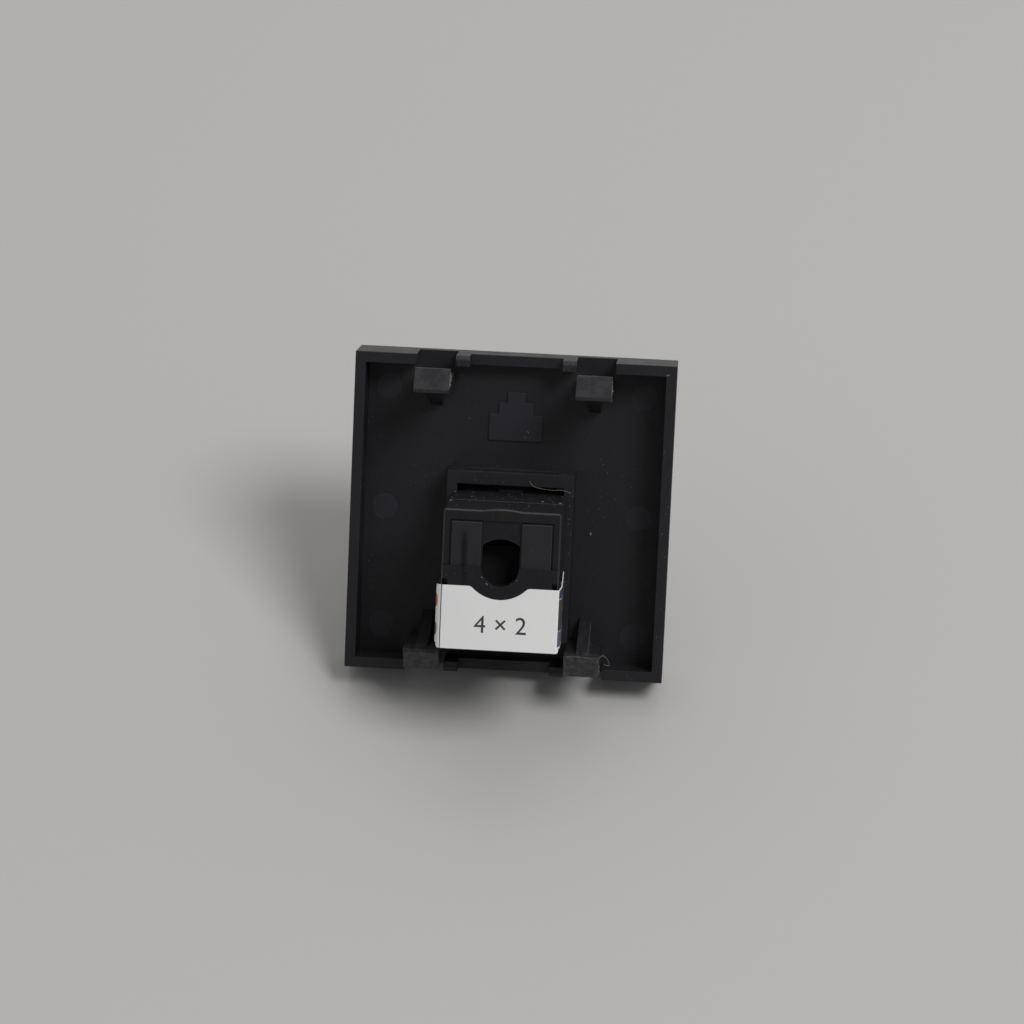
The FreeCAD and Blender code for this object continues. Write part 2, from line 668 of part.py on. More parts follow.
fix_point(brow, 1, 2, "brow_width / 2", skirt_top)
brow_size = brow.addConstraint(Sketcher.Constraint("Radius", 0, brow_radius))
brow_formula = "(brow_width * brow_width / 4 + brow_rise * brow_rise) / (2 * brow_rise)"
brow.setExpression(f"Constraints[{brow_size}]", bind(brow_formula))
grow_back(cap, brow, "brow_depth", "brow")

relief = centred("skirt_width", "-cap_step", f"{skirt_top} + brow_rise")
cut_back(cap, facing(cap, "relief_outline", f"{cap_end} - cap_relief", relief), None, "upper_relief")

cap_rear = sheet.skirt_end + sheet.seat_gap + sheet.cap_depth
upper_rear = cap_rear - sheet.cap_relief


def on_cap_rim(edge):
    """The outer edges of the cap's two rear levels, with the arch, and its long corners."""
    middle = edge.CenterOfMass
    at_side = near(abs(middle.x), outer_side)
    at_end = near(middle.z, outer_top) or near(middle.z, outer_foot)
    at_rear = near(middle.y, upper_rear) or near(middle.y, cap_rear)
    on_arch = is_round(edge) and near(middle.y, upper_rear)
    return on_arch or [at_side, at_end, at_rear].count(True) == 2


dress(cap, "Chamfer", on_cap_rim, "cap_edges", "cap_edge")
dress(cap, "Chamfer", seam_edge(sheet.skirt_end + sheet.seat_gap), "cap_seam", "seam_bevel")
arm_outline = rectangle(
    "skirt_width / 2", "skirt_width / 2 + arm_wall", f"{skirt_foot} + arm_foot", "-arm_top"
)
arm = grow_back(cap, facing(cap, "arm_outline", cap_front, arm_outline), "cap_depth - arm_setback", "arm")
mirror(cap, [arm], "YZ_Plane", "both_arms")

room_width = "skirt_width - 2 * cap_wall"
cap_room = centred(room_width, f"{skirt_foot} + cap_wall", f"{skirt_top} - cap_wall")
room = facing(cap, "cap_room_outline", cap_front, cap_room)
cut_back(cap, room, "cap_depth - cap_back", "cap_room")
panel = centred(panel_width, "-cap_step", "panel_top")
panel_depth = f"{cap_end} - cap_relief - panel_relief"
cut_back(cap, facing(cap, "panel_outline", panel_depth, panel), None, "sunk_panel")
pad_right = f"({panel_width} / 2 - pad_groove)"
pad_outline = rectangle(f"{pad_right} - pad_width", pad_right, "-cap_step", "panel_top - pad_groove")
pad = grow_back(cap, facing(cap, "pad_outline", panel_depth, pad_outline), "pad_rise", "pad")
mirror(cap, [pad], "YZ_Plane", "both_pads")
pad_level = upper_rear - sheet.panel_relief + sheet.pad_rise


def on_pad(edge):
    """The rear edges of a pad, apart from the one at the step."""
    middle = edge.CenterOfMass
    return near(middle.y, pad_level) and not near(middle.z, -sheet.cap_step)


dress(cap, "Chamfer", on_pad, "pad_edges", "pad_bevel")

notch_outline = rectangle(
    "skirt_width / 2 - arm_wall / 2 - notch_width",
    "skirt_width / 2 - arm_wall / 2",
    "-arm_top - notch_height",
    "-arm_top",
)
arm_notch_sketch = facing(cap, "arm_notch_outline", cap_end, notch_outline)
arm_notch = cut_forward(cap, arm_notch_sketch, "notch_depth", "arm_notch")
mirror(cap, [arm_notch], "YZ_Plane", "both_notches")

# Cable hole: straight sides, a round lower end and a flat arch above
hole = new_sketch(cap, "cable_hole_outline", "XZ_Plane", f"-({cap_end} - cap_back)")
hole_half = sheet.hole_width / 2
crown_drop = math.sqrt(sheet.hole_crown ** 2 - hole_half ** 2)
crown_turn = math.asin(hole_half / sheet.hole_crown)
upright = FreeCAD.Vector(0, 0, 1)
round_end = Part.Circle(FreeCAD.Vector(0, -sheet.hole_centre, 0), upright, hole_half)
arch = Part.Circle(FreeCAD.Vector(0, -sheet.hole_shoulder - crown_drop, 0), upright, sheet.hole_crown)
right_low = FreeCAD.Vector(hole_half, -sheet.hole_centre, 0)
right_high = FreeCAD.Vector(hole_half, -sheet.hole_shoulder, 0)
left_high = FreeCAD.Vector(-hole_half, -sheet.hole_shoulder, 0)
left_low = FreeCAD.Vector(-hole_half, -sheet.hole_centre, 0)
hole.addGeometry(Part.ArcOfCircle(round_end, math.pi, 2 * math.pi))
hole.addGeometry(Part.LineSegment(right_low, right_high))
hole.addGeometry(Part.ArcOfCircle(arch, math.pi / 2 - crown_turn, math.pi / 2 + crown_turn))
hole.addGeometry(Part.LineSegment(left_high, left_low))
for before, after in ((0, 1), (1, 2), (2, 3), (3, 0)):
    hole.addConstraint(Sketcher.Constraint("Coincident", before, 2, after, 1))
fix_point(hole, 1, 1, "hole_width / 2", "-hole_centre")
fix_point(hole, 1, 2, "hole_width / 2", "-hole_shoulder")
fix_point(hole, 3, 1, "-hole_width / 2", "-hole_shoulder")
fix_point(hole, 3, 2, "-hole_width / 2", "-hole_centre")
end_height = hole.addConstraint(Sketcher.Constraint("DistanceY", -1, 1, 0, 3, -sheet.hole_centre))
hole.setExpression(f"Constraints[{end_height}]", bind("-hole_centre"))
arch_size = hole.addConstraint(Sketcher.Constraint("Radius", 2, sheet.hole_crown))
hole.setExpression(f"Constraints[{arch_size}]", bind("hole_crown"))
cut_back(cap, hole, None, "cable_hole")

comb_outline = rectangle(cap_front, f"{cap_front} + comb_depth", wire_low, wire_high)
comb_slots = sideways(cap, "comb_outline", "skirt_width / 2 - cap_wall", comb_outline)
comb_cut = cut_across(cap, comb_slots, None, "comb_slot")
cap_steps = [
    row_step(cap, "Z_Axis", row_length, ROWS, "comb_up"),
    mirror_step(cap, "YZ_Plane", "comb_across"),
]
repeat_each(cap, [comb_cut], cap_steps, "both_combs")

# Label: one strip folded round the cap's lower half, cut out round the cable hole
label = new_body("label")
fold = "skirt_width / 2"
side = "(skirt_width / 2 + arm_wall + label_air)"
lift = "label_wall / 2"
strip_right = [
    (side, f"{cap_end} - label_wrap"),
    (side, arm_end),
    (fold, cap_end),
]
strip_outer = [
    (fold, f"{cap_end} + label_wall"),
    (f"{side} + label_wall", f"{arm_end} + {lift}"),
    (f"{side} + label_wall", f"{cap_end} - label_wrap"),
]
mirrored_inner = [(f"-{across}", up) for across, up in reversed(strip_right)]
mirrored_outer = [(f"-({across})", up) for across, up in reversed(strip_outer)]
strip = strip_right + mirrored_inner + mirrored_outer + strip_outer
strip_sketch = outline(label, "strip_outline", "XY_Plane", f"{skirt_foot} + label_foot", strip)
feature(label, "Pad", strip_sketch, f"-label_top - {skirt_foot} - label_foot", False, "strip")
flap_front = cap_rear - sheet.label_wrap


def flap_corner(edge):
    return runs_along(edge, 0) and near(edge.CenterOfMass.y, flap_front)


dress(label, "Fillet", flap_corner, "flap_corners", "label_corner")
cut_out = new_sketch(label, "cut_out_circle", "XZ_Plane", f"-({cap_end} + label_wall)")
add_circle(cut_out, "0", "-label_arc_centre", "label_arc")
cut_forward(label, cut_out, "label_wall", "cut_out")

# Every step is checked before anything is written
pieces = [item for item in doc.Objects if item.isDerivedFrom("PartDesign::Body")]
failed = [item.Name for item in doc.Objects if "Invalid" in item.State or "Error" in item.State]
if failed:
    raise RuntimeError("steps that failed: " + ", ".join(failed))
for piece in pieces:
    if piece.Shape.isNull() or not piece.Shape.isValid() or len(piece.Shape.Solids) != 1:
        raise RuntimeError("bad solid: " + piece.Label)

os.makedirs("parts", exist_ok=True)
for piece in pieces:
    piece.Shape.exportStep(os.path.join("parts", piece.Label + ".step"))
    print(piece.Label, round(piece.Shape.Volume, 3), piece.Shape.BoundBox)
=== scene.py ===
"""A snap-in data outlet module with a modular jack in its holder, seen from behind."""

import math
import random

import bmesh
import bpy
from mathutils import Matrix, Vector


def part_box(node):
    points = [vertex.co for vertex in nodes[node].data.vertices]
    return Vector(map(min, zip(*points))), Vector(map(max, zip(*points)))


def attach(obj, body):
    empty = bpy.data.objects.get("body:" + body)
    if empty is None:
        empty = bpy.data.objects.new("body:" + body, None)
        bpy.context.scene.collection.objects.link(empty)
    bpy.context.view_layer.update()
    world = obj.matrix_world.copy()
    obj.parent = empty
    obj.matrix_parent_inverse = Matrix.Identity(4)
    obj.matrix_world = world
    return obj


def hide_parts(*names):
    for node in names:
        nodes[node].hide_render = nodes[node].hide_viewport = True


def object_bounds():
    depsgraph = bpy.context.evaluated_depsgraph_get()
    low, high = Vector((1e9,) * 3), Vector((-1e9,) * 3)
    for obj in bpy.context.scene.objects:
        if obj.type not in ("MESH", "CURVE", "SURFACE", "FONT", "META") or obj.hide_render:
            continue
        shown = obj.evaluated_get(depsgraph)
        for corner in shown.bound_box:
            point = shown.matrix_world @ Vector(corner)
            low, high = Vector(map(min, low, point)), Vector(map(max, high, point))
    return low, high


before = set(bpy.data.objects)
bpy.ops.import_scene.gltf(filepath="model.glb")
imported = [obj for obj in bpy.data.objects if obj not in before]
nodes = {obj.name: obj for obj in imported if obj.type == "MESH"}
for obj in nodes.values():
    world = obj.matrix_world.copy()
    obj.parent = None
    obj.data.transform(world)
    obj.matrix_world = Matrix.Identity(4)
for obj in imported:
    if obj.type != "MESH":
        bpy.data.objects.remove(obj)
cad_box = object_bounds()

# The faceplate is one moulding of satin black plastic: a square tray with a rim, four snap hooks with their
# gussets, the holder for the jack and a raised icon. The spark-eroded tool leaves a fine matt grain on it and
# edges that are only just rounded. It is the part that the others are fixed to.

MM = 0.001
PLATE_EDGE_RADIUS = 0.10
ROUNDING_STEPS = 2
FLAT_FACE_WEIGHT = 100
SHARP_ANGLE = math.radians(25)
FLAT_ANGLE = math.radians(0.4)
SMOOTH_ANGLE = math.radians(40)
SLIGHT_TURN = math.radians(0.5)
STRAIGHT_WITHIN = 0.001
MERGE_WITHIN = 0.002
CUT_WITHIN = 0.02
CLOSEST_CUTS = 0.12
NARROW_SHARE = 0.4
BEND_STEPS = 10


def pick(piece):
    """Makes this piece the only one selected, and the active one."""
    bpy.ops.object.select_all(action="DESELECT")
    piece.select_set(True)
    bpy.context.view_layer.objects.active = piece


def feature_places(mesh, axis):
    """Lists where sharp edges lie along this axis, with the two outer ones left out."""
    form = bmesh.new()
    form.from_mesh(mesh)
    found = set()
    for edge in form.edges:
        start, end = (vert.co for vert in edge.verts)
        runs = [abs(a - b) > STRAIGHT_WITHIN for a, b in zip(start, end)]
        if edge.calc_face_angle(0) > SHARP_ANGLE and runs.count(True) == 1 and not runs[axis]:
            found.add(round(start[axis], 2))
    form.free()
    places = []
    for place in sorted(found):
        if not places or place - places[-1] > CLOSEST_CUTS:
            places.append(place)
    return places[1:-1]


def cut_along_features(piece):
    """Cuts the copy along its feature lines, so that each flat face becomes plain four-sided fields."""
    places = [feature_places(piece.data, axis) for axis in range(3)]
    bpy.ops.object.mode_set(mode="EDIT")
    for axis, found in enumerate(places):
        across = Vector((axis == 0, axis == 1, axis == 2))
        for place in found:
            bpy.ops.mesh.select_all(action="SELECT")
            bpy.ops.mesh.bisect(plane_co=across * place, plane_no=across, threshold=CUT_WITHIN)
            bpy.ops.mesh.mark_seam()
    bpy.ops.mesh.select_all(action="SELECT")
    bpy.ops.mesh.dissolve_limited(angle_limit=FLAT_ANGLE, delimit={"SEAM"})
    bpy.ops.object.mode_set(mode="OBJECT")


def even_out_bends(form, share):
    """Gives edges that follow each other round a bend the least share among them, so that they meet."""
    for _ in range(BEND_STEPS):
        for vert in form.verts:
            rounded = [edge for edge in vert.link_edges if edge[share] > 0]
            for edge in rounded:
                for other in rounded:
                    onward = vert.co - other.other_vert(vert).co
                    turn = (edge.other_vert(vert).co - vert.co).angle(onward, 0)
                    if SLIGHT_TURN < turn < SHARP_ANGLE:
                        edge[share] = min(edge[share], other[share])


def weigh_outer_edges(mesh, radius):
    """Gives each outer edge its share of the rounding, less where a face beside it is narrow."""
    form = bmesh.new()
    form.from_mesh(mesh)
    share = form.edges.layers.float.new("bevel_weight_edge")
    for edge in form.edges:
        if edge.calc_face_angle(0) < SHARP_ANGLE or not edge.is_convex:
            continue
        start = edge.verts[0].co
        run = (edge.verts[1].co - start).normalized()
        widths = []
        for face in edge.link_faces:
            reaches = [vert.co - start for vert in face.verts]
            widths.append(max((reach - run * reach.dot(run)).length for reach in reaches))
            for other in face.edges:
                way = other.verts[1].co - other.verts[0].co
                across = (way - run * way.dot(run)).length
                bend = math.asin(min(1.0, across / way.length))
                if other is edge or not set(other.verts) & set(edge.verts) or bend < SLIGHT_TURN:
                    continue
                widths.append(across if bend > SHARP_ANGLE else min(way.length, edge.calc_length()) / bend)
        edge[share] = min(1.0, NARROW_SHARE * min(widths) / radius)
    even_out_bends(form, share)
    form.to_mesh(mesh)
    form.free()


def rounded_copy(node, name, radius):
    """Copies a CAD node and rounds its outer edges, as a moulding's are. It is worked in millimetres."""
    piece = bpy.data.objects.new(name, nodes[node].data.copy())
    bpy.context.scene.collection.objects.link(piece)
    pick(piece)
    bpy.ops.mesh.customdata_custom_splitnormals_clear()
    piece.data.transform(Matrix.Scale(1 / MM, 4))
    bpy.ops.object.mode_set(mode="EDIT")
    bpy.ops.mesh.select_all(action="SELECT")
    bpy.ops.mesh.remove_doubles(threshold=MERGE_WITHIN)
    bpy.ops.mesh.dissolve_limited(angle_limit=FLAT_ANGLE)
    bpy.ops.object.mode_set(mode="OBJECT")
    cut_along_features(piece)
    weigh_outer_edges(piece.data, radius)
    rounding = piece.modifiers.new("edge_rounding", "BEVEL")
    rounding.width = radius
    rounding.segments = ROUNDING_STEPS
    rounding.limit_method = "WEIGHT"
    rounding.use_clamp_overlap = False
    bpy.ops.object.modifier_apply(modifier=rounding.name)
    bpy.ops.object.shade_smooth_by_angle(angle=SMOOTH_ANGLE)
    flattening = piece.modifiers.new("flat_faces", "WEIGHTED_NORMAL")
    flattening.keep_sharp = True
    flattening.weight = FLAT_FACE_WEIGHT
    bpy.ops.object.modifier_apply(modifier=flattening.name)
    piece.data.transform(Matrix.Scale(MM, 4))
    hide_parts(node)
    return piece


def add(tree, kind, inputs=None, **settings):
    """Adds a shader node with its settings, and gives each input a value or a link from a socket."""
    made = tree.nodes.new("ShaderNode" + kind)
    for name, value in settings.items():
        setattr(made, name, value)
    for name, value in (inputs or {}).items():
        if isinstance(value, bpy.types.NodeSocket):
            tree.links.new(value, made.inputs[name])
        else:
            made.inputs[name].default_value = value
    return made


def reckon(tree, operation, one, other=0.5):
    """Reckons a value from one or two others."""
    return add(tree, "Math", {0: one, 1: other}, operation=operation).outputs[0]


def times(tree, *masks):
    """Multiplies masks."""
    product = masks[0]
    for mask in masks[1:]:
        product = reckon(tree, "MULTIPLY", product, mask)
    return product


def spread(tree, value, start=0.0, end=1.0, least=0.0, most=1.0):
    """Spreads a value's stretch from start to end over another, from least to most, and stops there."""
    stretch = {"From Min": start, "From Max": end, "To Min": least, "To Max": most}
    return add(tree, "MapRange", {"Value": value, **stretch}).outputs["Result"]


def noise(tree, place, scale, detail, roughness=0.5):
    """Reads a cloudy pattern, with so many clouds to the metre."""
    inputs = {"Vector": place, "Scale": scale, "Detail": detail, "Roughness": roughness}
    return add(tree, "TexNoise", inputs).outputs["Fac"]


def streaks(tree, place, per_metre, detail, turn=0.0):
    """Reads a cloudy pattern that is drawn out into streaks, with so many to the metre along each axis."""
    drawn = add(tree, "Mapping", {"Vector": place, "Rotation": (turn, turn, turn), "Scale": per_metre})
    return noise(tree, drawn.outputs["Vector"], scale=1.0, detail=detail)


def blend(tree, mask, one, other):
    """Blends two colours by a mask."""
    return add(tree, "Mix", {0: mask, 6: one, 7: other}, data_type="RGBA").outputs[2]


def give_surface(tree, shader, tone, rough, relief=None, strength=1.0, depth=0.0):
    """Gives a shader its colour and roughness, and the relief of a height pattern, in millimetres."""
    tree.links.new(tone, shader.inputs["Base Color"])
    tree.links.new(rough, shader.inputs["Roughness"])
    if relief is not None:
        bump = add(tree, "Bump", {"Strength": strength, "Distance": depth * MM, "Height": relief})
        tree.links.new(bump.outputs["Normal"], shader.inputs["Normal"])


def new_group(name, inputs, outputs):
    """Starts a shader node group with named sockets: inputs have a value, all are numbers but Place."""
    group = bpy.data.node_groups.new(name, "ShaderNodeTree")
    group.interface.new_socket("Place", in_out="INPUT", socket_type="NodeSocketVector")
    for label, value in inputs.items():
        socket = group.interface.new_socket(label, in_out="INPUT", socket_type="NodeSocketFloat")
        socket.default_value = value
    for label in outputs:
        group.interface.new_socket(label, in_out="OUTPUT", socket_type="NodeSocketFloat")
    taken, given = group.nodes.new("NodeGroupInput"), group.nodes.new("NodeGroupOutput")
    return group, taken.outputs, given.inputs


def place_group(tree, group, place, **values):
    """Puts a node group in a material, reading the place on the piece, with its own values."""
    made = tree.nodes.new("ShaderNodeGroup")
    made.node_tree = group
    tree.links.new(place, made.inputs["Place"])
    for name, value in values.items():
        made.inputs[name.replace("_", " ").capitalize()].default_value = value
    return made.outputs


def new_material(name):
    """Starts a material, and returns it with its tree, its shader and the place on the piece."""
    material = bpy.data.materials.new(name)
    material.use_nodes = True
    tree = material.node_tree
    place = add(tree, "TexCoord").outputs["Object"]
    return material, tree, tree.nodes["Principled BSDF"], place


def grain_group():
    """Spark-eroded tool grain: fine pits with slow changes of depth, as a height and a mottle mask."""
    group, taken, given = new_group("tool_grain", {"Pit size": 0.12}, ["Height", "Mottle"])
    pits_per_metre = reckon(group, "DIVIDE", 1 / MM, taken["Pit size"])
    pits = noise(group, taken["Place"], scale=pits_per_metre, detail=2.0, roughness=0.55)
    slow = noise(group, taken["Place"], scale=420.0, detail=4.0, roughness=0.6)
    group.links.new(pits, given["Height"])
    group.links.new(spread(group, slow, start=0.32, end=0.68), given["Mottle"])
    return group


def dust_group():
    """Fine settled dust: single specks of several sizes, thicker in some areas, as a mask."""
    group, taken, given = new_group("settled_dust", {"Amount": 0.5}, ["Mask"])
    drift = noise(group, taken["Place"], scale=160.0, detail=3.0, roughness=0.6)
    thick = spread(group, drift, start=0.35, end=0.75, least=0.02, most=0.22)
    reach = times(group, thick, taken["Amount"])
    layers = []
    for scale in (1500.0, 3400.0):
        specks = add(group, "TexVoronoi", {"Vector": taken["Place"], "Scale": scale})
        inner = reckon(group, "SUBTRACT", reach, specks.outputs["Distance"])
        layers.append(spread(group, inner, end=0.06))
    group.links.new(reckon(group, "MAXIMUM", *layers), given["Mask"])
    return group


def scuff_group():
    """Handling marks: short fine scratches in two directions, in patches, as a mask."""
    group, taken, given = new_group("handling_scuffs", {"Amount": 0.5}, ["Mask"])
    layers = []
    for turn, per_metre in ((0.5, (2600.0, 2600.0, 180.0)), (-0.9, (3200.0, 3200.0, 240.0))):
        lines = streaks(group, taken["Place"], per_metre, detail=1.0, turn=turn)
        layers.append(spread(group, lines, start=0.66, end=0.74))
    both = reckon(group, "MAXIMUM", *layers)
    patches = noise(group, taken["Place"], scale=260.0, detail=2.0)
    worn = spread(group, patches, start=0.45, end=0.7)
    group.links.new(times(group, both, worn, taken["Amount"]), given["Mask"])
    return group


tool_grain = grain_group()
settled_dust = dust_group()
handling_scuffs = scuff_group()
DUST_COLOUR = (0.16, 0.16, 0.155, 1.0)
DUST_DULLS_BY = 0.4
FILM_FROM_SLOPE = 0.7
SCUFF_COLOUR = (0.05, 0.05, 0.052, 1.0)


def moulded_black(name, dark, pale, roughness, specular, pit_size, pit_depth, dust, film, scuffs, patches=()):
    """Black moulded plastic: two close blacks mottled, tool grain, fine scratches, dust and its film on top.

    Each patch is an area with another finish, or with painted light or shade: what makes its mask, its colour
    and its roughness.
    """
    material, tree, plastic, place = new_material(name)
    grain = place_group(tree, tool_grain, place, pit_size=pit_size)
    specks = place_group(tree, settled_dust, place, amount=dust)["Mask"]
    marks = place_group(tree, handling_scuffs, place, amount=scuffs)["Mask"]
    tone = blend(tree, marks, blend(tree, grain["Mottle"], dark, pale), SCUFF_COLOUR)
    glossiest, dullest = roughness
    finish = spread(tree, grain["Mottle"], least=dullest, most=glossiest)
    for area, colour, roughness_there in patches:
        mask = area(tree, place)
        tone = blend(tree, mask, tone, colour)
        finish = add(tree, "Mix", {0: mask, 2: finish, 3: roughness_there}, data_type="FLOAT").outputs[0]
    facing = add(tree, "SeparateXYZ", {0: add(tree, "NewGeometry").outputs["Normal"]})
    lying = spread(tree, facing.outputs["Z"], start=FILM_FROM_SLOPE, most=film)
    dusty = blend(tree, specks, blend(tree, lying, tone, DUST_COLOUR), DUST_COLOUR)
    rough = reckon(tree, "ADD", finish, spread(tree, specks, most=DUST_DULLS_BY))
    relief = reckon(tree, "SUBTRACT", grain["Height"], marks)
    give_surface(tree, plastic, dusty, rough, relief, strength=0.6, depth=pit_depth)
    plastic.inputs["Specular IOR Level"].default_value = specular
    return material


def in_millimetres(tree, place):
    """Reads the place on the piece in millimetres: across, back, up, and how far aside and away from 0."""
    scaled = add(tree, "VectorMath", {0: place, "Scale": 1 / MM}, operation="SCALE")
    split = add(tree, "SeparateXYZ", {0: scaled.outputs[0]})
    across, back, up = (split.outputs[axis] for axis in "XYZ")
    aside = reckon(tree, "ABSOLUTE", across)
    away = reckon(tree, "ABSOLUTE", up)
    return across, back, up, aside, away


def between(tree, value, low, high, soft):
    """Makes a mask that is 1 where a value lies between two others, with soft ends."""
    rising = spread(tree, value, start=low - soft, end=low + soft)
    falling = spread(tree, value, start=high + soft, end=high - soft)
    return times(tree, rising, falling)


def inside(tree, place, *masks, **spans):
    """Makes a mask of a box, times other masks. Each span of it has two ends and how soft they are."""
    values = dict(zip(("across", "back", "up", "aside", "away"), in_millimetres(tree, place)))
    sides = [between(tree, values[name], *span) for name, span in spans.items()]
    return times(tree, *sides, *masks)


MARK_ACROSS = 18.0
MARK_UP = 17.1
MARK_RADIUS = 1.85
FLOOR_BACK = 2.0
ICON_BACK = FLOOR_BACK + 0.3
ICON_HALF_WIDTH = 3.8
ICON_LOW, ICON_HIGH = 10.0, 17.2
BARB_BACK = (12.2, 16.0, 0.3)
BARB_UP = (17.6, 22.0, 0.2)


def smooth_fields(tree, place):
    """Mask of the ejector marks and the icon's face, where the tool was polished and not eroded."""
    _, back, _, aside, away = in_millimetres(tree, place)
    sideways = reckon(tree, "SUBTRACT", aside, MARK_ACROSS)
    fields = inside(
        tree,
        place,
        back=(ICON_BACK - 0.05, ICON_BACK + 0.2, 0.03),
        aside=(-1.0, ICON_HALF_WIDTH, 0.05),
        up=(ICON_LOW, ICON_HIGH, 0.05),
    )
    for level in (0.0, MARK_UP):
        upwards = reckon(tree, "SUBTRACT", away, level)
        flat = add(tree, "CombineXYZ", {0: sideways, 1: upwards})
        reach = add(tree, "VectorMath", {0: flat.outputs[0]}, operation="LENGTH").outputs["Value"]
        on_mark = between(tree, reach, -1.0, MARK_RADIUS, 0.06)
        on_floor = between(tree, back, 1.0, FLOOR_BACK, 0.1)
        fields = reckon(tree, "MAXIMUM", fields, times(tree, on_mark, on_floor))
    return fields


def dull_barbs(tree, place):
    """Mask of the upper hooks' barbs, which the mounting frame has left dull and uneven."""
    clouds = noise(tree, place, scale=420.0, detail=5.0, roughness=0.6)
    uneven = spread(tree, clouds, start=0.38, end=0.56)
    return inside(tree, place, uneven, back=BARB_BACK, up=BARB_UP)


def rubbed_barbs_and_painted_light(tree, place):
    """Mask of the blotches that the mounting frame has rubbed on the hooks' barbs, made stronger on the lower
    hooks as painted light.
    """
    blotches = noise(tree, place, scale=1300.0, detail=6.0, roughness=0.68)
    rubbed = spread(tree, blotches, start=0.38, end=0.68)
    up = in_millimetres(tree, place)[2]
    # Painted light: the lower barbs take the blotches at full strength and the upper ones at less, which
    # lightens the lower hooks.
    lower = spread(tree, up, start=5.0, end=-5.0, least=0.15)
    return inside(tree, place, rubbed, lower, back=BARB_BACK, away=BARB_UP)


def rubbed_tabs(tree, place):
    """Mask of the upright streaks that the mounting frame has rubbed on the upper rim's tabs."""
    upright = streaks(tree, place, (5200.0, 500.0, 500.0), detail=3.0)
    rubbed = spread(tree, upright, start=0.5, end=0.75, most=0.8)
    return inside(tree, place, rubbed, aside=(6.3, 8.7, 0.1), back=(7.2, 8.4, 0.15), up=(20.8, 22.4, 0.2))


def scraped_gusset_and_edge_highlight(tree, place):
    """Mask of the pale streaks that a tool has scraped down one lower gusset, and of a painted highlight
    along its edge.
    """
    down = streaks(tree, place, (7000.0, 200.0, 200.0), detail=2.0)
    scraped = spread(tree, down, start=0.48, end=0.8, most=0.7)
    # The strip along the gusset's edge is a painted highlight.
    edge = inside(tree, place, across=(-12.3, -11.97, 0.02))
    both = reckon(tree, "MAXIMUM", scraped, edge)
    return inside(
        tree, place, both, across=(-12.2, -10.2, 0.05), back=(3.5, 16.0, 0.4), up=(-17.9, -13.4, 0.3)
    )


plate_black = moulded_black(
    "plate_black",
    dark=(0.0056, 0.0054, 0.0076, 1.0),
    pale=(0.0086, 0.0083, 0.0110, 1.0),
    roughness=(0.40, 0.50),
    specular=0.5,
    pit_size=0.12,
    pit_depth=0.012,
    dust=0.6,
    film=0.05,
    scuffs=0.14,
    patches=(
        (smooth_fields, (0.0165, 0.0157, 0.0215, 1.0), 0.40),
        (dull_barbs, (0.0050, 0.0048, 0.0075, 1.0), 0.75),
        (rubbed_barbs_and_painted_light, (0.056, 0.055, 0.060, 1.0), 0.52),
        (rubbed_tabs, (0.050, 0.050, 0.053, 1.0), 0.45),
        (scraped_gusset_and_edge_highlight, (0.060, 0.060, 0.066, 1.0), 0.45),
    ),
)


def dress(piece, material, body):
    """Gives a new piece its one material and its body."""
    piece.data.materials.clear()
    piece.data.materials.append(material)
    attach(piece, body)


plate = rounded_copy("faceplate", "module_plate", PLATE_EDGE_RADIUS)
dress(plate, plate_black, "module")

# The jack's housing is a black moulding that snaps into the holder from behind: a narrow nose with the plug
# opening in front and a wider skirt behind. It is a little glossier than the plate.

JACK_EDGE_RADIUS = 0.07
SKIRT_TOP = 3.65


def tooth_painted_shade(tree, place):
    """Mask of the snap tooth above the housing's top, painted dark as painted shade where it lies in shade
    behind the bar.
    """
    return inside(tree, place, up=(SKIRT_TOP + 0.1, SKIRT_TOP + 3.0, 0.05))


jack_black = moulded_black(
    "jack_black",
    dark=(0.0050, 0.0048, 0.0070, 1.0),
    pale=(0.0074, 0.0071, 0.0094, 1.0),
    roughness=(0.32, 0.42),
    specular=0.5,
    pit_size=0.09,
    pit_depth=0.008,
    dust=0.6,
    film=0.01,
    scuffs=0.12,
    # The snap tooth's patch is painted shade, not dirt.
    patches=((tooth_painted_shade, (0.0012, 0.0012, 0.0013, 1.0), 0.95),),
)
housing = rounded_copy("jack_housing", "jack_body", JACK_EDGE_RADIUS)
dress(housing, jack_black, "module")

# The contact carrier and the terminal block are black mouldings inside the housing. The carrier's comb guides
# the spring contacts. The block's two towers hold the forked terminals that the cap presses the wires into.


def refinish(node, material):
    """Puts a finished material on a CAD node in place of its plain one."""
    for place in nodes[node].material_slots:
        place.material = material


inner_black = moulded_black(
    "inner_black",
    dark=(0.0050, 0.0050, 0.0056, 1.0),
    pale=(0.0076, 0.0076, 0.0082, 1.0),
    roughness=(0.55, 0.7),
    specular=0.25,
    pit_size=0.09,
    pit_depth=0.010,
    dust=0.1,
    film=0.01,
    scuffs=0.05,
)
for node in ("contact_carrier", "idc_block"):
    refinish(node, inner_black)

# The eight spring contacts are bent from phosphor bronze wire and plated with gold where the plug's blades
# touch them. They stand in the carrier's comb, each in its own slot.


def plated_metal(name, bright, worn, roughness):
    """Plated wire or sheet: a bright plating with slow changes of tone and fine drawing lines."""
    material, tree, metal, place = new_material(name)
    mottle = place_group(tree, tool_grain, place, pit_size=0.05)["Mottle"]
    marks = place_group(tree, handling_scuffs, place, amount=0.6)["Mask"]
    glossiest, dullest = roughness
    rough = spread(tree, mottle, least=glossiest, most=dullest)
    give_surface(tree, metal, blend(tree, mottle, bright, worn), rough, marks, strength=0.4, depth=0.004)
    metal.inputs["Metallic"].default_value = 1.0
    return material


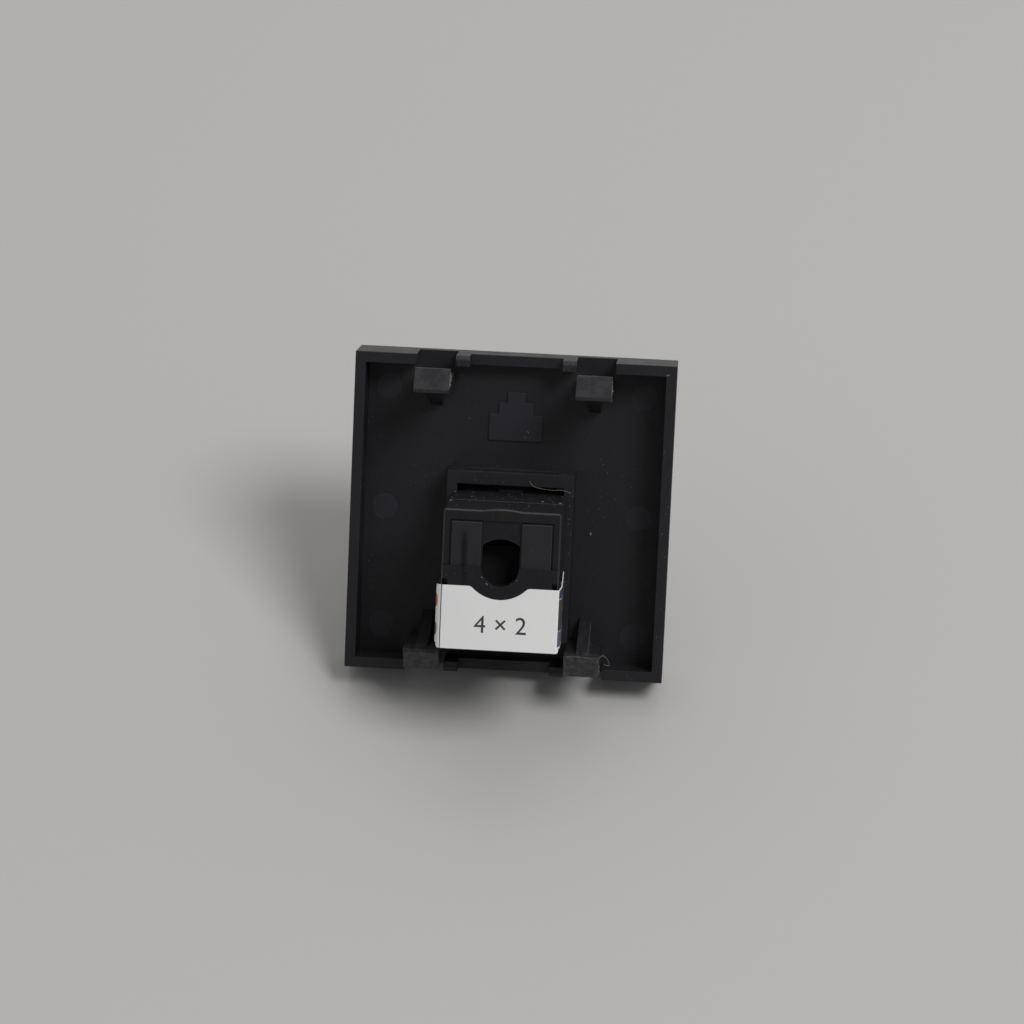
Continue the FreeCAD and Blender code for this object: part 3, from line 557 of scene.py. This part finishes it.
contact_gold = plated_metal(
    "contact_gold", bright=(1.0, 0.80, 0.38, 1.0), worn=(0.93, 0.70, 0.30, 1.0), roughness=(0.40, 0.52)
)
for number in range(1, 9):
    refinish(f"contact_{number}", contact_gold)

# The circuit board joins the spring contacts to the wire terminals. It is glass-fibre laminate under a green
# solder mask, with the weave just showing, and it lies flat between the carrier and the terminal block.

BOARD_DEEP_GREEN = (0.010, 0.075, 0.028, 1.0)
BOARD_GREEN = (0.018, 0.115, 0.045, 1.0)


def board_mask():
    """Green solder mask over woven glass: a faint weave and slow changes of thickness."""
    material, tree, mask, place = new_material("board_mask")
    threads = []
    for axis in "XZ":
        inputs = {"Vector": place, "Scale": 600.0, "Distortion": 0.6}
        threads.append(add(tree, "TexWave", inputs, bands_direction=axis).outputs["Fac"])
    cloth = times(tree, *threads)
    greens = blend(tree, cloth, BOARD_DEEP_GREEN, BOARD_GREEN)
    rough = spread(tree, cloth, least=0.28, most=0.4)
    give_surface(tree, mask, greens, rough, cloth, strength=0.3, depth=0.005)
    return material


refinish("circuit_board", board_mask())

# The eight wire terminals are forks stamped from bronze sheet and tinned. They stand in the towers of the
# terminal block, where their slots cut through the wires' insulation.

terminal_tin = plated_metal(
    "terminal_tin", bright=(0.72, 0.72, 0.70, 1.0), worn=(0.55, 0.55, 0.54, 1.0), roughness=(0.26, 0.42)
)
for number in range(1, 9):
    refinish(f"idc_{number}", terminal_tin)

# The wire cap closes the jack from behind and presses the wires into the terminals: one black moulding with
# the oval cable hole, a raised frame, two thumb pads and an arm on either side. It slides straight off.

CAP_EDGE_RADIUS = 0.06


def thumb_pads(tree, place):
    """Mask of the rear faces of the two pads, which are grained where the rest of the cap is polished."""
    return inside(tree, place, aside=(2.7, 6.85, 0.05), up=(-4.1, 2.05, 0.05), back=(25.65, 25.85, 0.03))


def brow_polish_and_painted_sheen(tree, place):
    """Mask of the stretch in the middle of the brow that pulling the cap off has polished; its lighter,
    yellowish colour is a painted reflection.
    """
    return inside(tree, place, across=(-1.4, 0.4, 0.35), back=(25.3, 25.75, 0.1), up=(2.5, 4.2, 0.3))


def dark_streak(tree, place):
    """Mask of a dark streak that runs down over one pad and the step below it, leaning a little."""
    across, back, up, _, _ = in_millimetres(tree, place)
    middle = spread(tree, up, start=-6.0, end=0.8, least=4.85, most=5.16)
    uneven = spread(tree, noise(tree, place, scale=900.0, detail=3.0), least=-0.3, most=0.3)
    ragged = reckon(tree, "ADD", reckon(tree, "SUBTRACT", across, middle), uneven)
    return times(
        tree,
        between(tree, ragged, -0.36, 0.36, 0.2),
        between(tree, up, -6.2, 0.4, 0.8),
        between(tree, back, 24.9, 27.0, 0.1),
    )


cap_black = moulded_black(
    "cap_black",
    dark=(0.0062, 0.0060, 0.0078, 1.0),
    pale=(0.0094, 0.0091, 0.0114, 1.0),
    roughness=(0.25, 0.33),
    specular=0.5,
    pit_size=0.09,
    pit_depth=0.006,
    dust=0.6,
    film=0.02,
    scuffs=0.25,
    patches=(
        (thumb_pads, (0.0115, 0.0111, 0.0142, 1.0), 0.44),
        (dark_streak, (0.0034, 0.0034, 0.0038, 1.0), 0.22),
        # The brow's patch: lower roughness for the polish, a lighter yellowish colour as painted reflection.
        (brow_polish_and_painted_sheen, (0.0125, 0.0122, 0.0095, 1.0), 0.2),
    ),
)
cap = rounded_copy("wire_cap", "jack_cap", CAP_EDGE_RADIUS)
dress(cap, cap_black, "cap")

# The label is a die-cut strip of coated white paper with its own glue. It covers the lower half of the cap's
# rear, with a bow cut out for the cable, and folds round both edges onto the arms.

PAPER_COLOUR = (0.83, 0.83, 0.825, 1.0)
PAPER_CLOUDS = (0.855, 0.855, 0.85, 1.0)
FOLD_DARK_LINE = (0.07, 0.07, 0.07, 1.0)
DARK_LINE_FROM_FOLD = (-0.23, -0.08)
GLUE_THICKNESS = 0.01
BOW_RADIUS = 5.15
BOW_DROP = 1.75
BOW_STEPS = 14
SHOULDER_RADIUS = 0.9
SHOULDER_STEPS = 6
FLAP_RISES = {1: -0.75, -1: 1.8}
FLAP_STEP = 0.6
FLAP_STEP_STEPS = 6
FLAP_CORNER = 0.5
FLAP_CORNER_STEPS = 5
FOLD_START = 0.2
EDGE_CREASES = 6
ARM_CREASES = 4
ON_CREASE = 0.001
CLOSE_OUTLINE_WITHIN = 0.005
ARM_SETBACK = 1.2
PAPER_AIRS = {1: 0.15, -1: 0.02}
FOLD_SPREADS = {1: 0.4, -1: 0.15}
ROUND_ANGLE = math.radians(35)

label_low, label_high = (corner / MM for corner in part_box("label"))
cap_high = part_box("wire_cap")[1] / MM
cap_rear = cap_high.y
fold_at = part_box("jack_housing")[1].x / MM
paper_front = cap_rear + GLUE_THICKNESS
paper_thickness = label_high.y - paper_front
flap_length = cap_rear - ARM_SETBACK - label_low.y


def slant_on(side):
    """The stretch of the label between the cap's edge and the arm, as its length and its turn."""
    reach = cap_high.x - fold_at + PAPER_AIRS[side]
    return math.hypot(reach, ARM_SETBACK), math.atan2(ARM_SETBACK, reach)


def start_outline(name, place):
    """Starts an outline as one picked vertex, ready for extrude and spin."""
    bpy.ops.object.select_all(action="DESELECT")
    bpy.ops.mesh.primitive_plane_add(size=1.0, location=(0.0, 0.0, 0.0))
    piece = bpy.context.active_object
    piece.name = name
    bpy.ops.object.mode_set(mode="EDIT")
    bpy.ops.mesh.select_all(action="SELECT")
    bpy.ops.mesh.merge(type="CENTER")
    bpy.ops.transform.translate(value=place)
    return piece


def pull_by(way):
    """Pulls what is selected out along a way, with new edges and faces behind it."""
    bpy.ops.mesh.extrude_region_move(TRANSFORM_OT_translate={"value": way})


def line_by(across, up):
    """Draws a straight line on from the outline's end."""
    pull_by((across, 0.0, up))


def arc_about(centre, turn, steps):
    """Draws a round stretch on from the outline's end: a turn above 0 goes from below towards +X and up."""
    middle = (centre[0], paper_front, centre[1])
    bpy.ops.mesh.spin(steps=steps, angle=turn, center=middle, axis=(0.0, 1.0, 0.0))


def draw_half(side):
    """Draws the die-cut outline from the middle of the bow out to one flap and back along the lower edge."""
    bow_low = label_high.z - BOW_DROP
    bow_middle = bow_low + BOW_RADIUS
    shoulder_up = label_high.z - SHOULDER_RADIUS
    shoulder_across = math.sqrt((BOW_RADIUS + SHOULDER_RADIUS) ** 2 - (bow_middle - shoulder_up) ** 2)
    swept = math.atan2(shoulder_across, bow_middle - shoulder_up)
    quarter = -side * math.pi / 2
    flap_high = label_high.z + FLAP_RISES[side]
    flap_low = label_low.z + FLAP_STEP
    corner_at = fold_at + slant_on(side)[0] + flap_length - FLAP_CORNER
    foot_at = fold_at + FOLD_START
    piece = start_outline("label_half", (0.0, paper_front, bow_low))
    arc_about((0.0, bow_middle), side * swept, BOW_STEPS)
    arc_about((side * shoulder_across, shoulder_up), -side * swept, SHOULDER_STEPS)
    line_by(side * (foot_at - shoulder_across), 0.0)
    line_by(side * (corner_at - foot_at), FLAP_RISES[side])
    arc_about((side * corner_at, flap_high - FLAP_CORNER), quarter, FLAP_CORNER_STEPS)
    line_by(0.0, flap_low - flap_high + 2 * FLAP_CORNER)
    arc_about((side * corner_at, flap_low + FLAP_CORNER), quarter, FLAP_CORNER_STEPS)
    line_by(side * (foot_at + FLAP_STEP - corner_at), 0.0)
    arc_about((side * foot_at, flap_low), quarter, FLAP_STEP_STEPS)
    line_by(-side * foot_at, 0.0)
    bpy.ops.object.mode_set(mode="OBJECT")
    return piece


def join_pieces(name, pieces):
    """Joins pieces into one under a new name."""
    pick(pieces[0])
    for piece in pieces:
        piece.select_set(True)
    bpy.ops.object.join()
    pieces[0].name = name
    return pieces[0]


def thicken_outline(thickness):
    """Gives the filled outline that is being edited its thickness, and leaves edit mode."""
    pull_by((0.0, thickness, 0.0))
    bpy.ops.mesh.select_all(action="SELECT")
    bpy.ops.mesh.normals_make_consistent(inside=False)
    bpy.ops.object.mode_set(mode="OBJECT")


def cut_label():
    """Joins both halves of the outline, fills them and gives the paper its thickness."""
    piece = join_pieces("label_strip", [draw_half(1), draw_half(-1)])
    bpy.ops.object.mode_set(mode="EDIT")
    bpy.ops.mesh.select_all(action="SELECT")
    bpy.ops.mesh.remove_doubles(threshold=CLOSE_OUTLINE_WITHIN)
    bpy.ops.mesh.edge_face_add()
    thicken_outline(paper_thickness)
    return piece


def creases(side):
    """Lists the fine creases of a flap's two folds: the place along the flat strip and the turn at each."""
    slant, turn = slant_on(side)
    folds = ((fold_at, turn, EDGE_CREASES), (fold_at + slant, math.pi / 2 - turn, ARM_CREASES))
    found = []
    for place, whole, count in folds:
        for number in range(count):
            found.append((place + FOLD_SPREADS[side] * (number / (count - 1) - 0.5), whole / count))
    return found


def fold_round_cap(piece):
    """Folds both ends of a flat piece round the cap's edges, crease by crease, as paper bends."""
    pick(piece)
    bpy.ops.object.mode_set(mode="EDIT")
    for side in (1, -1):
        for place, _ in creases(side):
            bpy.ops.mesh.select_all(action="SELECT")
            bpy.ops.mesh.bisect(plane_co=(side * place, 0.0, 0.0), plane_no=(1.0, 0.0, 0.0))
    bpy.ops.object.mode_set(mode="OBJECT")
    flat = [vertex.co.x for vertex in piece.data.vertices]
    for side in (1, -1):
        crease = Vector((0.0, paper_front, 0.0))
        heading, last = 0.0, 0.0
        for place, turn in creases(side):
            crease += (place - last) * Vector((side * math.cos(heading), -math.sin(heading), 0.0))
            swing = (
                Matrix.Translation(crease)
                @ Matrix.Rotation(-side * turn, 4, "Z")
                @ Matrix.Translation(-crease)
            )
            for vertex, across in zip(piece.data.vertices, flat):
                if side * across > place + ON_CREASE:
                    vertex.co = swing @ vertex.co
            heading, last = heading + turn, place


def paper_finish():
    """Coated label paper: white with faint clouding, a satin coat, very fine fibres and a dark line just
    inside one fold.
    """
    material, tree, paper, place = new_material("label_white")
    clouds = noise(tree, place, scale=700.0, detail=4.0)
    fibres = noise(tree, place, scale=9000.0, detail=3.0)
    across = in_millimetres(tree, place)[0]
    beside = reckon(tree, "ADD", across, spread(tree, clouds, least=-0.05, most=0.05))
    start, end = (fold_at + off for off in DARK_LINE_FROM_FOLD)
    on_dark_line = between(tree, beside, start, end, 0.03)
    lined_paper = blend(tree, on_dark_line, blend(tree, clouds, PAPER_COLOUR, PAPER_CLOUDS), FOLD_DARK_LINE)
    rough = spread(tree, clouds, least=0.26, most=0.4)
    give_surface(tree, paper, lined_paper, rough, fibres, strength=0.25, depth=0.006)
    return material


def into_metres(piece):
    """Brings a piece that was worked in millimetres to its real size, and smooths its round faces."""
    piece.data.transform(Matrix.Scale(MM, 4))
    pick(piece)
    bpy.ops.object.shade_smooth_by_angle(angle=ROUND_ANGLE)


label = cut_label()
fold_round_cap(label)
into_metres(label)
dress(label, paper_finish(), "cap")
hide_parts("label")

# The print on the label is thin ink: the count of the wires in dark grey on the rear, four pairs of two, and
# the colours of the wires that go in on each side: dots on one flap, and bars beside the fold on the other.
# The bars' inks are darker and greyer than the wires' colours, as painted shade on the flap where it turns
# from the light.

INK_THICKNESS = 0.012
NUMBER_SIZE = 3.4
NUMBER_PLACE = (-0.35, -12.1)
WELD_WITHIN = 0.001
DOT_RADIUS = 1.0
DOT_SIDES = 40
DOT_COLUMNS = (9.5, 11.9)
DOT_ROWS = (-9.1, -13.0)
BAR_ACROSS = (-12.9, -8.1)
BAR_ROUND = 0.06
BAR_ROUND_STEPS = 5
INK_GREY = (0.045, 0.045, 0.046, 1.0)
INK_ORANGE = (0.50, 0.085, 0.045, 1.0)
INK_GREEN = (0.045, 0.13, 0.055, 1.0)
INK_BLUE_SHADED = (0.019, 0.036, 0.070, 1.0)
INK_BROWN_SHADED = (0.035, 0.030, 0.029, 1.0)
INK_PALE_BLUE_SHADED = (0.075, 0.098, 0.138, 1.0)


def ink(name, colour, thin):
    """Printing ink: one colour with fine gaps where the paper shows through, as thin as the share says."""
    material, tree, surface, place = new_material(name)
    gaps = noise(tree, place, scale=6500.0, detail=3.0, roughness=0.7)
    bare = spread(tree, gaps, start=0.55, end=0.8, most=thin)
    rough = spread(tree, gaps, least=0.3, most=0.5)
    give_surface(tree, surface, blend(tree, bare, colour, PAPER_COLOUR), rough)
    return material


def weld(piece):
    """Joins the faces of a piece that was converted from a curve or from text, so that it is closed."""
    pick(piece)
    bpy.ops.object.mode_set(mode="EDIT")
    bpy.ops.mesh.select_all(action="SELECT")
    bpy.ops.mesh.remove_doubles(threshold=WELD_WITHIN)
    bpy.ops.object.mode_set(mode="OBJECT")


def print_numbers():
    """Sets the count of the wires on the rear of the label, as a thin layer of ink."""
    bpy.ops.object.select_all(action="DESELECT")
    bpy.ops.object.text_add(location=(0.0, 0.0, 0.0))
    words = bpy.context.active_object
    words.data.body = "4 \u00d7 2"
    words.data.size = NUMBER_SIZE
    words.data.align_x = "CENTER"
    words.data.align_y = "CENTER"
    words.data.extrude = INK_THICKNESS / 2
    bpy.ops.object.convert(target="MESH")
    weld(words)
    across, up = NUMBER_PLACE
    stand_up = Matrix.Rotation(math.pi, 4, "Z") @ Matrix.Rotation(math.pi / 2, 4, "X")
    words.data.transform(Matrix.Translation((across, label_high.y, up)) @ stand_up)
    words.name = "wire_count"
    return words


def print_dots(name, places):
    """Lays round dots of ink on the flat strip and folds them round the cap with it."""
    laid = []
    for across, up in places:
        bpy.ops.object.select_all(action="DESELECT")
        bpy.ops.mesh.primitive_cylinder_add(
            vertices=DOT_SIDES,
            radius=DOT_RADIUS,
            depth=INK_THICKNESS,
            location=(across, label_high.y, up),
            rotation=(math.pi / 2, 0.0, 0.0),
        )
        laid.append(bpy.context.active_object)
    piece = join_pieces(name, laid)
    bpy.ops.object.transform_apply(location=True, rotation=True, scale=True)
    fold_round_cap(piece)
    return piece


def print_bar(name, low, high, rise=0.0):
    """Lays a round-cornered bar of ink on the flat strip beside its fold, its top rising with the flap's."""
    far_end, fold_end = BAR_ACROSS
    piece = start_outline(name, (fold_end, label_high.y - INK_THICKNESS / 2, low))
    line_by(0.0, high - low)
    line_by(far_end - fold_end, rise)
    line_by(0.0, low - high - rise)
    bpy.ops.mesh.select_all(action="SELECT")
    bpy.ops.mesh.edge_face_add()
    bpy.ops.mesh.bevel(offset=BAR_ROUND, segments=BAR_ROUND_STEPS, affect="VERTICES")
    thicken_outline(INK_THICKNESS)
    fold_round_cap(piece)
    return piece


numbers = print_numbers()
into_metres(numbers)
dress(numbers, ink("ink_grey", INK_GREY, thin=0.12), "cap")
near, far = DOT_COLUMNS
upper, lower = DOT_ROWS
prints = (
    (print_dots("dots_orange", ((near, upper), (far, lower))), INK_ORANGE),
    (print_dots("dots_green", ((near, lower), (far, upper))), INK_GREEN),
    # Painted shade: these bars' inks are darker and greyer than the wires' colours, for the flap turned from
    # the light.
    (print_bar("bar_blue", low=-8.0, high=-6.92, rise=1.75), INK_BLUE_SHADED),
    (print_bar("bar_brown", low=-12.42, high=-8.06), INK_BROWN_SHADED),
    (print_bar("bar_pale_blue", low=-14.65, high=-12.48), INK_PALE_BLUE_SHADED),
)
for printed, colour in prints:
    into_metres(printed)
    dress(printed, ink(printed.name, colour, thin=0.2), "cap")

# Fitting and trimming left shavings of the same plastic on the module, gone pale where it was torn: a hair
# behind the holder's snap bar, a curl on one hook, ragged burrs along the hooks' edges, and crumbs where they
# fell. One pale crumb in the rim's inner corner is a painted highlight instead, standing for a glint there.

HAIR_RADIUS = 0.04
CURL_RADIUS = 0.045
STRAND_ORDER = 3
STRAND_ROUNDNESS = 2
BURR_THICKNESS = 0.05
BURR_STEPS = 14
BURR_SHARES = (0.15, 1.0)
BURR_ROOT = -0.04
CRUMB_SIZES = (0.04, 0.10)
CRUMB_SHARES = ((0.8, 1.4), (0.5, 0.9), (0.4, 0.7))
CRUMB_LUMPS = (0.8, 1.15)
UNSTRETCHED_COLOUR = (0.02, 0.02, 0.021, 1.0)
HOLDER_REAR = 8.5
HOOK_END = 15.2
BEHIND = 30.0
ABOVE = 12.0
DOWN, FORWARD, LEFT = (0.0, 0.0, -1.0), (0.0, -1.0, 0.0), (1.0, 0.0, 0.0)


def torn_plastic(name, palest):
    """Torn plastic: pale where it was stretched, patchy and dull."""
    material, tree, plastic, place = new_material(name)
    stretched = noise(tree, place, scale=2600.0, detail=3.0, roughness=0.6)
    tones = blend(tree, stretched, UNSTRETCHED_COLOUR, palest)
    rough = spread(tree, stretched, least=0.4, most=0.7)
    give_surface(tree, plastic, tones, rough, stretched, strength=0.4, depth=0.01)
    return material


def draw_strand(name, points, radius):
    """Draws a thin strand: a chain of edges through its points, made a smooth curve and then round."""
    piece = start_outline(name, points[0])
    for here, there in zip(points, points[1:]):
        pull_by(Vector(there) - Vector(here))
    bpy.ops.object.mode_set(mode="OBJECT")
    bpy.ops.object.convert(target="CURVE")
    bpy.ops.object.mode_set(mode="EDIT")
    bpy.ops.curve.select_all(action="SELECT")
    bpy.ops.curve.spline_type_set(type="NURBS")
    bpy.ops.object.mode_set(mode="OBJECT")
    line = piece.data.splines[0]
    line.order_u = STRAND_ORDER
    line.use_endpoint_u = True
    piece.data.bevel_depth = radius
    piece.data.bevel_resolution = STRAND_ROUNDNESS
    piece.data.use_fill_caps = True
    bpy.ops.object.convert(target="MESH")
    weld(piece)
    return piece


def tear_burr(start, end, outward, widest):
    """Tears a burr along an edge: a thin strip with a ragged free side that runs out at both ends."""
    bpy.ops.object.select_all(action="DESELECT")
    bpy.ops.mesh.primitive_grid_add(
        x_subdivisions=BURR_STEPS, y_subdivisions=1, size=1.0, location=(0.0, 0.0, 0.0)
    )
    piece = bpy.context.active_object
    for vertex in piece.data.vertices:
        along = vertex.co.x + 0.5
        width = BURR_ROOT
        if vertex.co.y > 0:
            width = widest * shapes.uniform(*BURR_SHARES) * math.sin(math.pi * along)
        vertex.co = Vector(start).lerp(Vector(end), along) + width * Vector(outward)
    thickening = piece.modifiers.new("burr_thickness", "SOLIDIFY")
    thickening.thickness = BURR_THICKNESS
    thickening.offset = 0.0
    bpy.ops.object.modifier_apply(modifier=thickening.name)
    return piece


def lay_crumb(carrier, start, way, size):
    """Lays one crumb where a line from its start meets the carrier: an uneven lump, sunk in a little."""
    _, place, facing, _ = carrier.ray_cast(Vector(start) * MM, Vector(way))
    bpy.ops.object.select_all(action="DESELECT")
    bpy.ops.mesh.primitive_ico_sphere_add(subdivisions=2, radius=1.0, location=(0.0, 0.0, 0.0))
    lump = bpy.context.active_object
    turn = Matrix.Rotation(shapes.uniform(0.0, math.pi), 3, "Z")
    lie = facing.to_track_quat("Z", "Y").to_matrix() @ turn
    form = Matrix.Diagonal([size * shapes.uniform(*share) for share in CRUMB_SHARES])
    for vertex in lump.data.vertices:
        vertex.co = place / MM + lie @ form @ vertex.co * shapes.uniform(*CRUMB_LUMPS)
    return lump


def scatter(carrier, count, low, high, way):
    """Scatters crumbs over a carrier, each from its own place in a box."""
    laid = []
    for _ in range(count):
        start = [shapes.uniform(*ends) for ends in zip(low, high)]
        laid.append(lay_crumb(carrier, start, way, shapes.uniform(*CRUMB_SIZES)))
    return laid


shapes = random.Random(45)
bpy.context.view_layer.update()
pale_plastic = torn_plastic("torn_plastic", palest=(0.20, 0.20, 0.193, 1.0))
hair_plastic = torn_plastic("hair_plastic", palest=(0.23, 0.227, 0.165, 1.0))
along_bar = HOLDER_REAR + HAIR_RADIUS
hair = draw_strand(
    "plastic_hair",
    (
        (-8.4, along_bar, 4.0),
        (-7.4, along_bar + 0.1, 4.5),
        (-6.2, along_bar + 0.25, 4.3),
        (-4.9, along_bar + 0.15, 4.4),
        (-3.9, along_bar, 4.5),
        (-3.2, along_bar, 4.7),
        (-2.9, along_bar, 5.0),
        (-2.6, along_bar, 5.4),
    ),
    HAIR_RADIUS,
)
curl = draw_strand(
    "plastic_curl",
    (
        (-13.3, HOOK_END, -18.8),
        (-13.8, HOOK_END + 0.1, -17.4),
        (-14.8, HOOK_END - 0.2, -17.8),
        (-15.4, HOOK_END - 0.3, -19.3),
        (-14.4, HOOK_END, -18.7),
    ),
    CURL_RADIUS,
)
burrs = join_pieces(
    "hook_burrs",
    [
        tear_burr((-13.65, 13.3, 20.9), (-13.65, 15.13, 18.5), (-0.9, 0.3, 0.2), widest=0.45),
        tear_burr((-13.64, 15.15, 18.6), (-13.64, 15.15, 17.95), (-0.6, 0.8, 0.0), widest=0.35),
        tear_burr((8.75, 13.3, 20.9), (8.75, 15.13, 18.5), (-0.9, 0.3, 0.2), widest=0.4),
        tear_burr((-13.65, 15.13, -18.5), (-13.65, 13.3, -20.9), (-0.9, 0.3, -0.2), widest=0.35),
        tear_burr((-8.9, 15.15, -17.95), (-12.0, 15.15, -17.95), (0.0, 0.5, 0.8), widest=0.2),
    ],
)
plate_crumbs = join_pieces(
    "plate_crumbs",
    [
        lay_crumb(plate, (-11.3, BEHIND, -2.7), FORWARD, size=0.24),
        # This crumb in the rim's inner corner is a painted highlight: it stands for a glint there, not a real
        # crumb.
        lay_crumb(plate, (-21.2, BEHIND, 21.2), FORWARD, size=0.2),
        lay_crumb(plate, (-1.8, BEHIND, 11.5), FORWARD, size=0.16),
        *scatter(plate, 8, (-16.0, BEHIND, -13.0), (-9.4, BEHIND, 9.0), FORWARD),
        *scatter(plate, 18, (-22.3, BEHIND, -18.0), (-21.1, BEHIND, 18.0), FORWARD),
        *scatter(plate, 14, (-8.8, BEHIND, -16.5), (-8.3, BEHIND, 6.0), FORWARD),
        *scatter(plate, 4, (-20.0, BEHIND, 8.0), (20.0, BEHIND, 14.0), FORWARD),
        *scatter(plate, 12, (15.0, 2.3, -9.0), (15.0, 7.7, 9.0), LEFT),
        *scatter(plate, 5, (-8.7, 7.6, ABOVE), (8.7, 8.3, ABOVE), DOWN),
        *scatter(plate, 2, (-8.7, 2.4, ABOVE), (8.7, 4.8, ABOVE), DOWN),
    ],
)
housing_crumbs = join_pieces(
    "housing_crumbs",
    [
        lay_crumb(housing, (-7.3, 16.1, ABOVE), DOWN, size=0.28),
        lay_crumb(housing, (-4.9, 15.5, ABOVE), DOWN, size=0.2),
        lay_crumb(housing, (7.6, 10.0, ABOVE), DOWN, size=0.16),
        *scatter(housing, 34, (-7.8, 8.8, ABOVE), (7.8, 16.8, ABOVE), DOWN),
    ],
)
cap_crumbs = join_pieces(
    "cap_crumbs",
    [
        lay_crumb(cap, (7.6, 18.2, ABOVE), DOWN, size=0.2),
        lay_crumb(cap, (2.45, BEHIND, -5.5), FORWARD, size=0.16),
        lay_crumb(cap, (1.75, BEHIND, -6.4), FORWARD, size=0.16),
        lay_crumb(cap, (-2.3, BEHIND, -5.7), FORWARD, size=0.1),
        *scatter(cap, 8, (-7.8, 17.3, ABOVE), (7.8, 25.0, ABOVE), DOWN),
    ],
)
for piece, plastic, body, slot in (
    (hair, hair_plastic, "module", "plate_plastic"),
    (curl, pale_plastic, "module", "plate_plastic"),
    (burrs, pale_plastic, "module", "plate_plastic"),
    (plate_crumbs, pale_plastic, "module", "plate_plastic"),
    (housing_crumbs, pale_plastic, "module", "jack_plastic"),
    (cap_crumbs, pale_plastic, "cap", "cap_plastic"),
):
    into_metres(piece)
    dress(piece, plastic, body)

# The module leans back on a sheet of pale grey paper, which it touches along its lower front edge. It stands
# under one soft lamp from the right above the camera and a weaker one overhead, in even light from all round
# but the camera's side.

SHEET_TILT = math.radians(35)
SHEET_SPAN = 14.0
SHEET_GREY = (0.514, 0.509, 0.499, 1.0)
SHEET_CLOUDS = (0.528, 0.523, 0.512, 1.0)
SHEET_ROUGHNESS = 0.85
SHEET_SPECULAR = 0.1
KEY_DIRECTION = Vector((-0.45, 0.71, 0.54)).normalized()
KEY_DISTANCE = 1.8
KEY_SIZE = 0.75
KEY_POWER = 16.2
TOP_HEIGHT = 1.0
TOP_SIZE = 0.5
TOP_POWER = 0.8
ROOM_LIGHT = (0.475, 0.473, 0.469, 1.0)
CAMERA_SIDE_LIGHT = (0.185, 0.185, 0.193, 1.0)
CAMERA_SIDE = (0.0, 0.988, -0.155)
CAMERA_SIDE_FADE = (0.45, 0.92)

rest_line = Vector((0.0, cad_box[0][1], cad_box[0][2]))
bpy.ops.object.select_all(action="DESELECT")
bpy.ops.mesh.primitive_plane_add(size=SHEET_SPAN, location=rest_line, rotation=(-SHEET_TILT, 0.0, 0.0))
sheet = bpy.context.active_object
sheet.name = "paper_sheet"
sheet_grey, sheet_tree, sheet_shader, sheet_place = new_material("sheet_grey")
sheet_clouds = noise(sheet_tree, sheet_place, scale=3.0, detail=3.0)
greys = blend(sheet_tree, sheet_clouds, SHEET_GREY, SHEET_CLOUDS)
sheet_tree.links.new(greys, sheet_shader.inputs["Base Color"])
sheet_shader.inputs["Roughness"].default_value = SHEET_ROUGHNESS
sheet_shader.inputs["Specular IOR Level"].default_value = SHEET_SPECULAR
see_through = add(sheet_tree, "BsdfTransparent").outputs["BSDF"]
behind = add(sheet_tree, "NewGeometry").outputs["Backfacing"]
one_sided = add(sheet_tree, "MixShader", {0: behind, 1: sheet_shader.outputs["BSDF"], 2: see_through})
sheet_tree.links.new(one_sided.outputs["Shader"], sheet_tree.nodes["Material Output"].inputs["Surface"])
sheet.data.materials.append(sheet_grey)


def hang_lamp(name, place, size, power):
    """Hangs a soft lamp at a place, facing down."""
    bpy.ops.object.light_add(type="AREA", location=place)
    lamp = bpy.context.active_object
    lamp.name = name
    lamp.data.size = size
    lamp.data.energy = power
    return lamp


key = hang_lamp("key_lamp", KEY_DIRECTION * KEY_DISTANCE, KEY_SIZE, KEY_POWER)
key.data.shape = "DISK"
key.rotation_euler = KEY_DIRECTION.to_track_quat("Z", "Y").to_euler()
hang_lamp("top_lamp", (0.0, 0.0, TOP_HEIGHT), TOP_SIZE, TOP_POWER)

room = bpy.data.worlds.new("room")
bpy.context.scene.world = room
room.use_nodes = True
room_tree = room.node_tree
way = add(room_tree, "TexCoord").outputs["Generated"]
turned = add(room_tree, "VectorMath", {0: way, 1: CAMERA_SIDE}, operation="DOT_PRODUCT").outputs["Value"]
fade_start, fade_end = CAMERA_SIDE_FADE
shaded = spread(room_tree, turned, start=fade_start, end=fade_end)
walls = blend(room_tree, shaded, ROOM_LIGHT, CAMERA_SIDE_LIGHT)
room_tree.links.new(walls, room_tree.nodes["Background"].inputs["Color"])

# The camera stands behind the module, a little above its middle and to the right, with a long lens. Its place
# was fitted to the photograph: three turns, a shift of the middle and a distance.

CAMERA_TURNS = (0.155432, -0.050797, -0.052075)
CAMERA_SHIFT_MM = (0.09379, 0.390935)
CAMERA_DISTANCE_MM = 499.314
CAMERA_FOCUS_PIXELS = 3500.0
CAMERA_REACH = 50.0
PICTURE_PIXELS = 1024.0
SENSOR_MM = 36.0

camera_data = bpy.data.cameras.new("photo_camera")
camera_data.sensor_width = SENSOR_MM
camera_data.lens = CAMERA_FOCUS_PIXELS * SENSOR_MM / PICTURE_PIXELS
camera_data.clip_end = CAMERA_REACH
camera = bpy.data.objects.new("photo_camera", camera_data)
bpy.context.scene.collection.objects.link(camera)
seen_from_behind = Matrix(((-1, 0, 0), (0, 0, 1), (0, 1, 0)))
tip, swing, roll = CAMERA_TURNS
to_camera = (
    Matrix.Rotation(roll, 3, "Z")
    @ Matrix.Rotation(swing, 3, "Y")
    @ Matrix.Rotation(tip, 3, "X")
    @ seen_from_behind
)
offset = Vector((CAMERA_SHIFT_MM[0], CAMERA_SHIFT_MM[1], -CAMERA_DISTANCE_MM)) * MM
turn_back = to_camera.transposed()
camera.matrix_world = Matrix.Translation(-(turn_back @ offset)) @ turn_back.to_4x4()
bpy.context.scene.camera = camera
bpy.context.scene.view_settings.view_transform = "Standard"
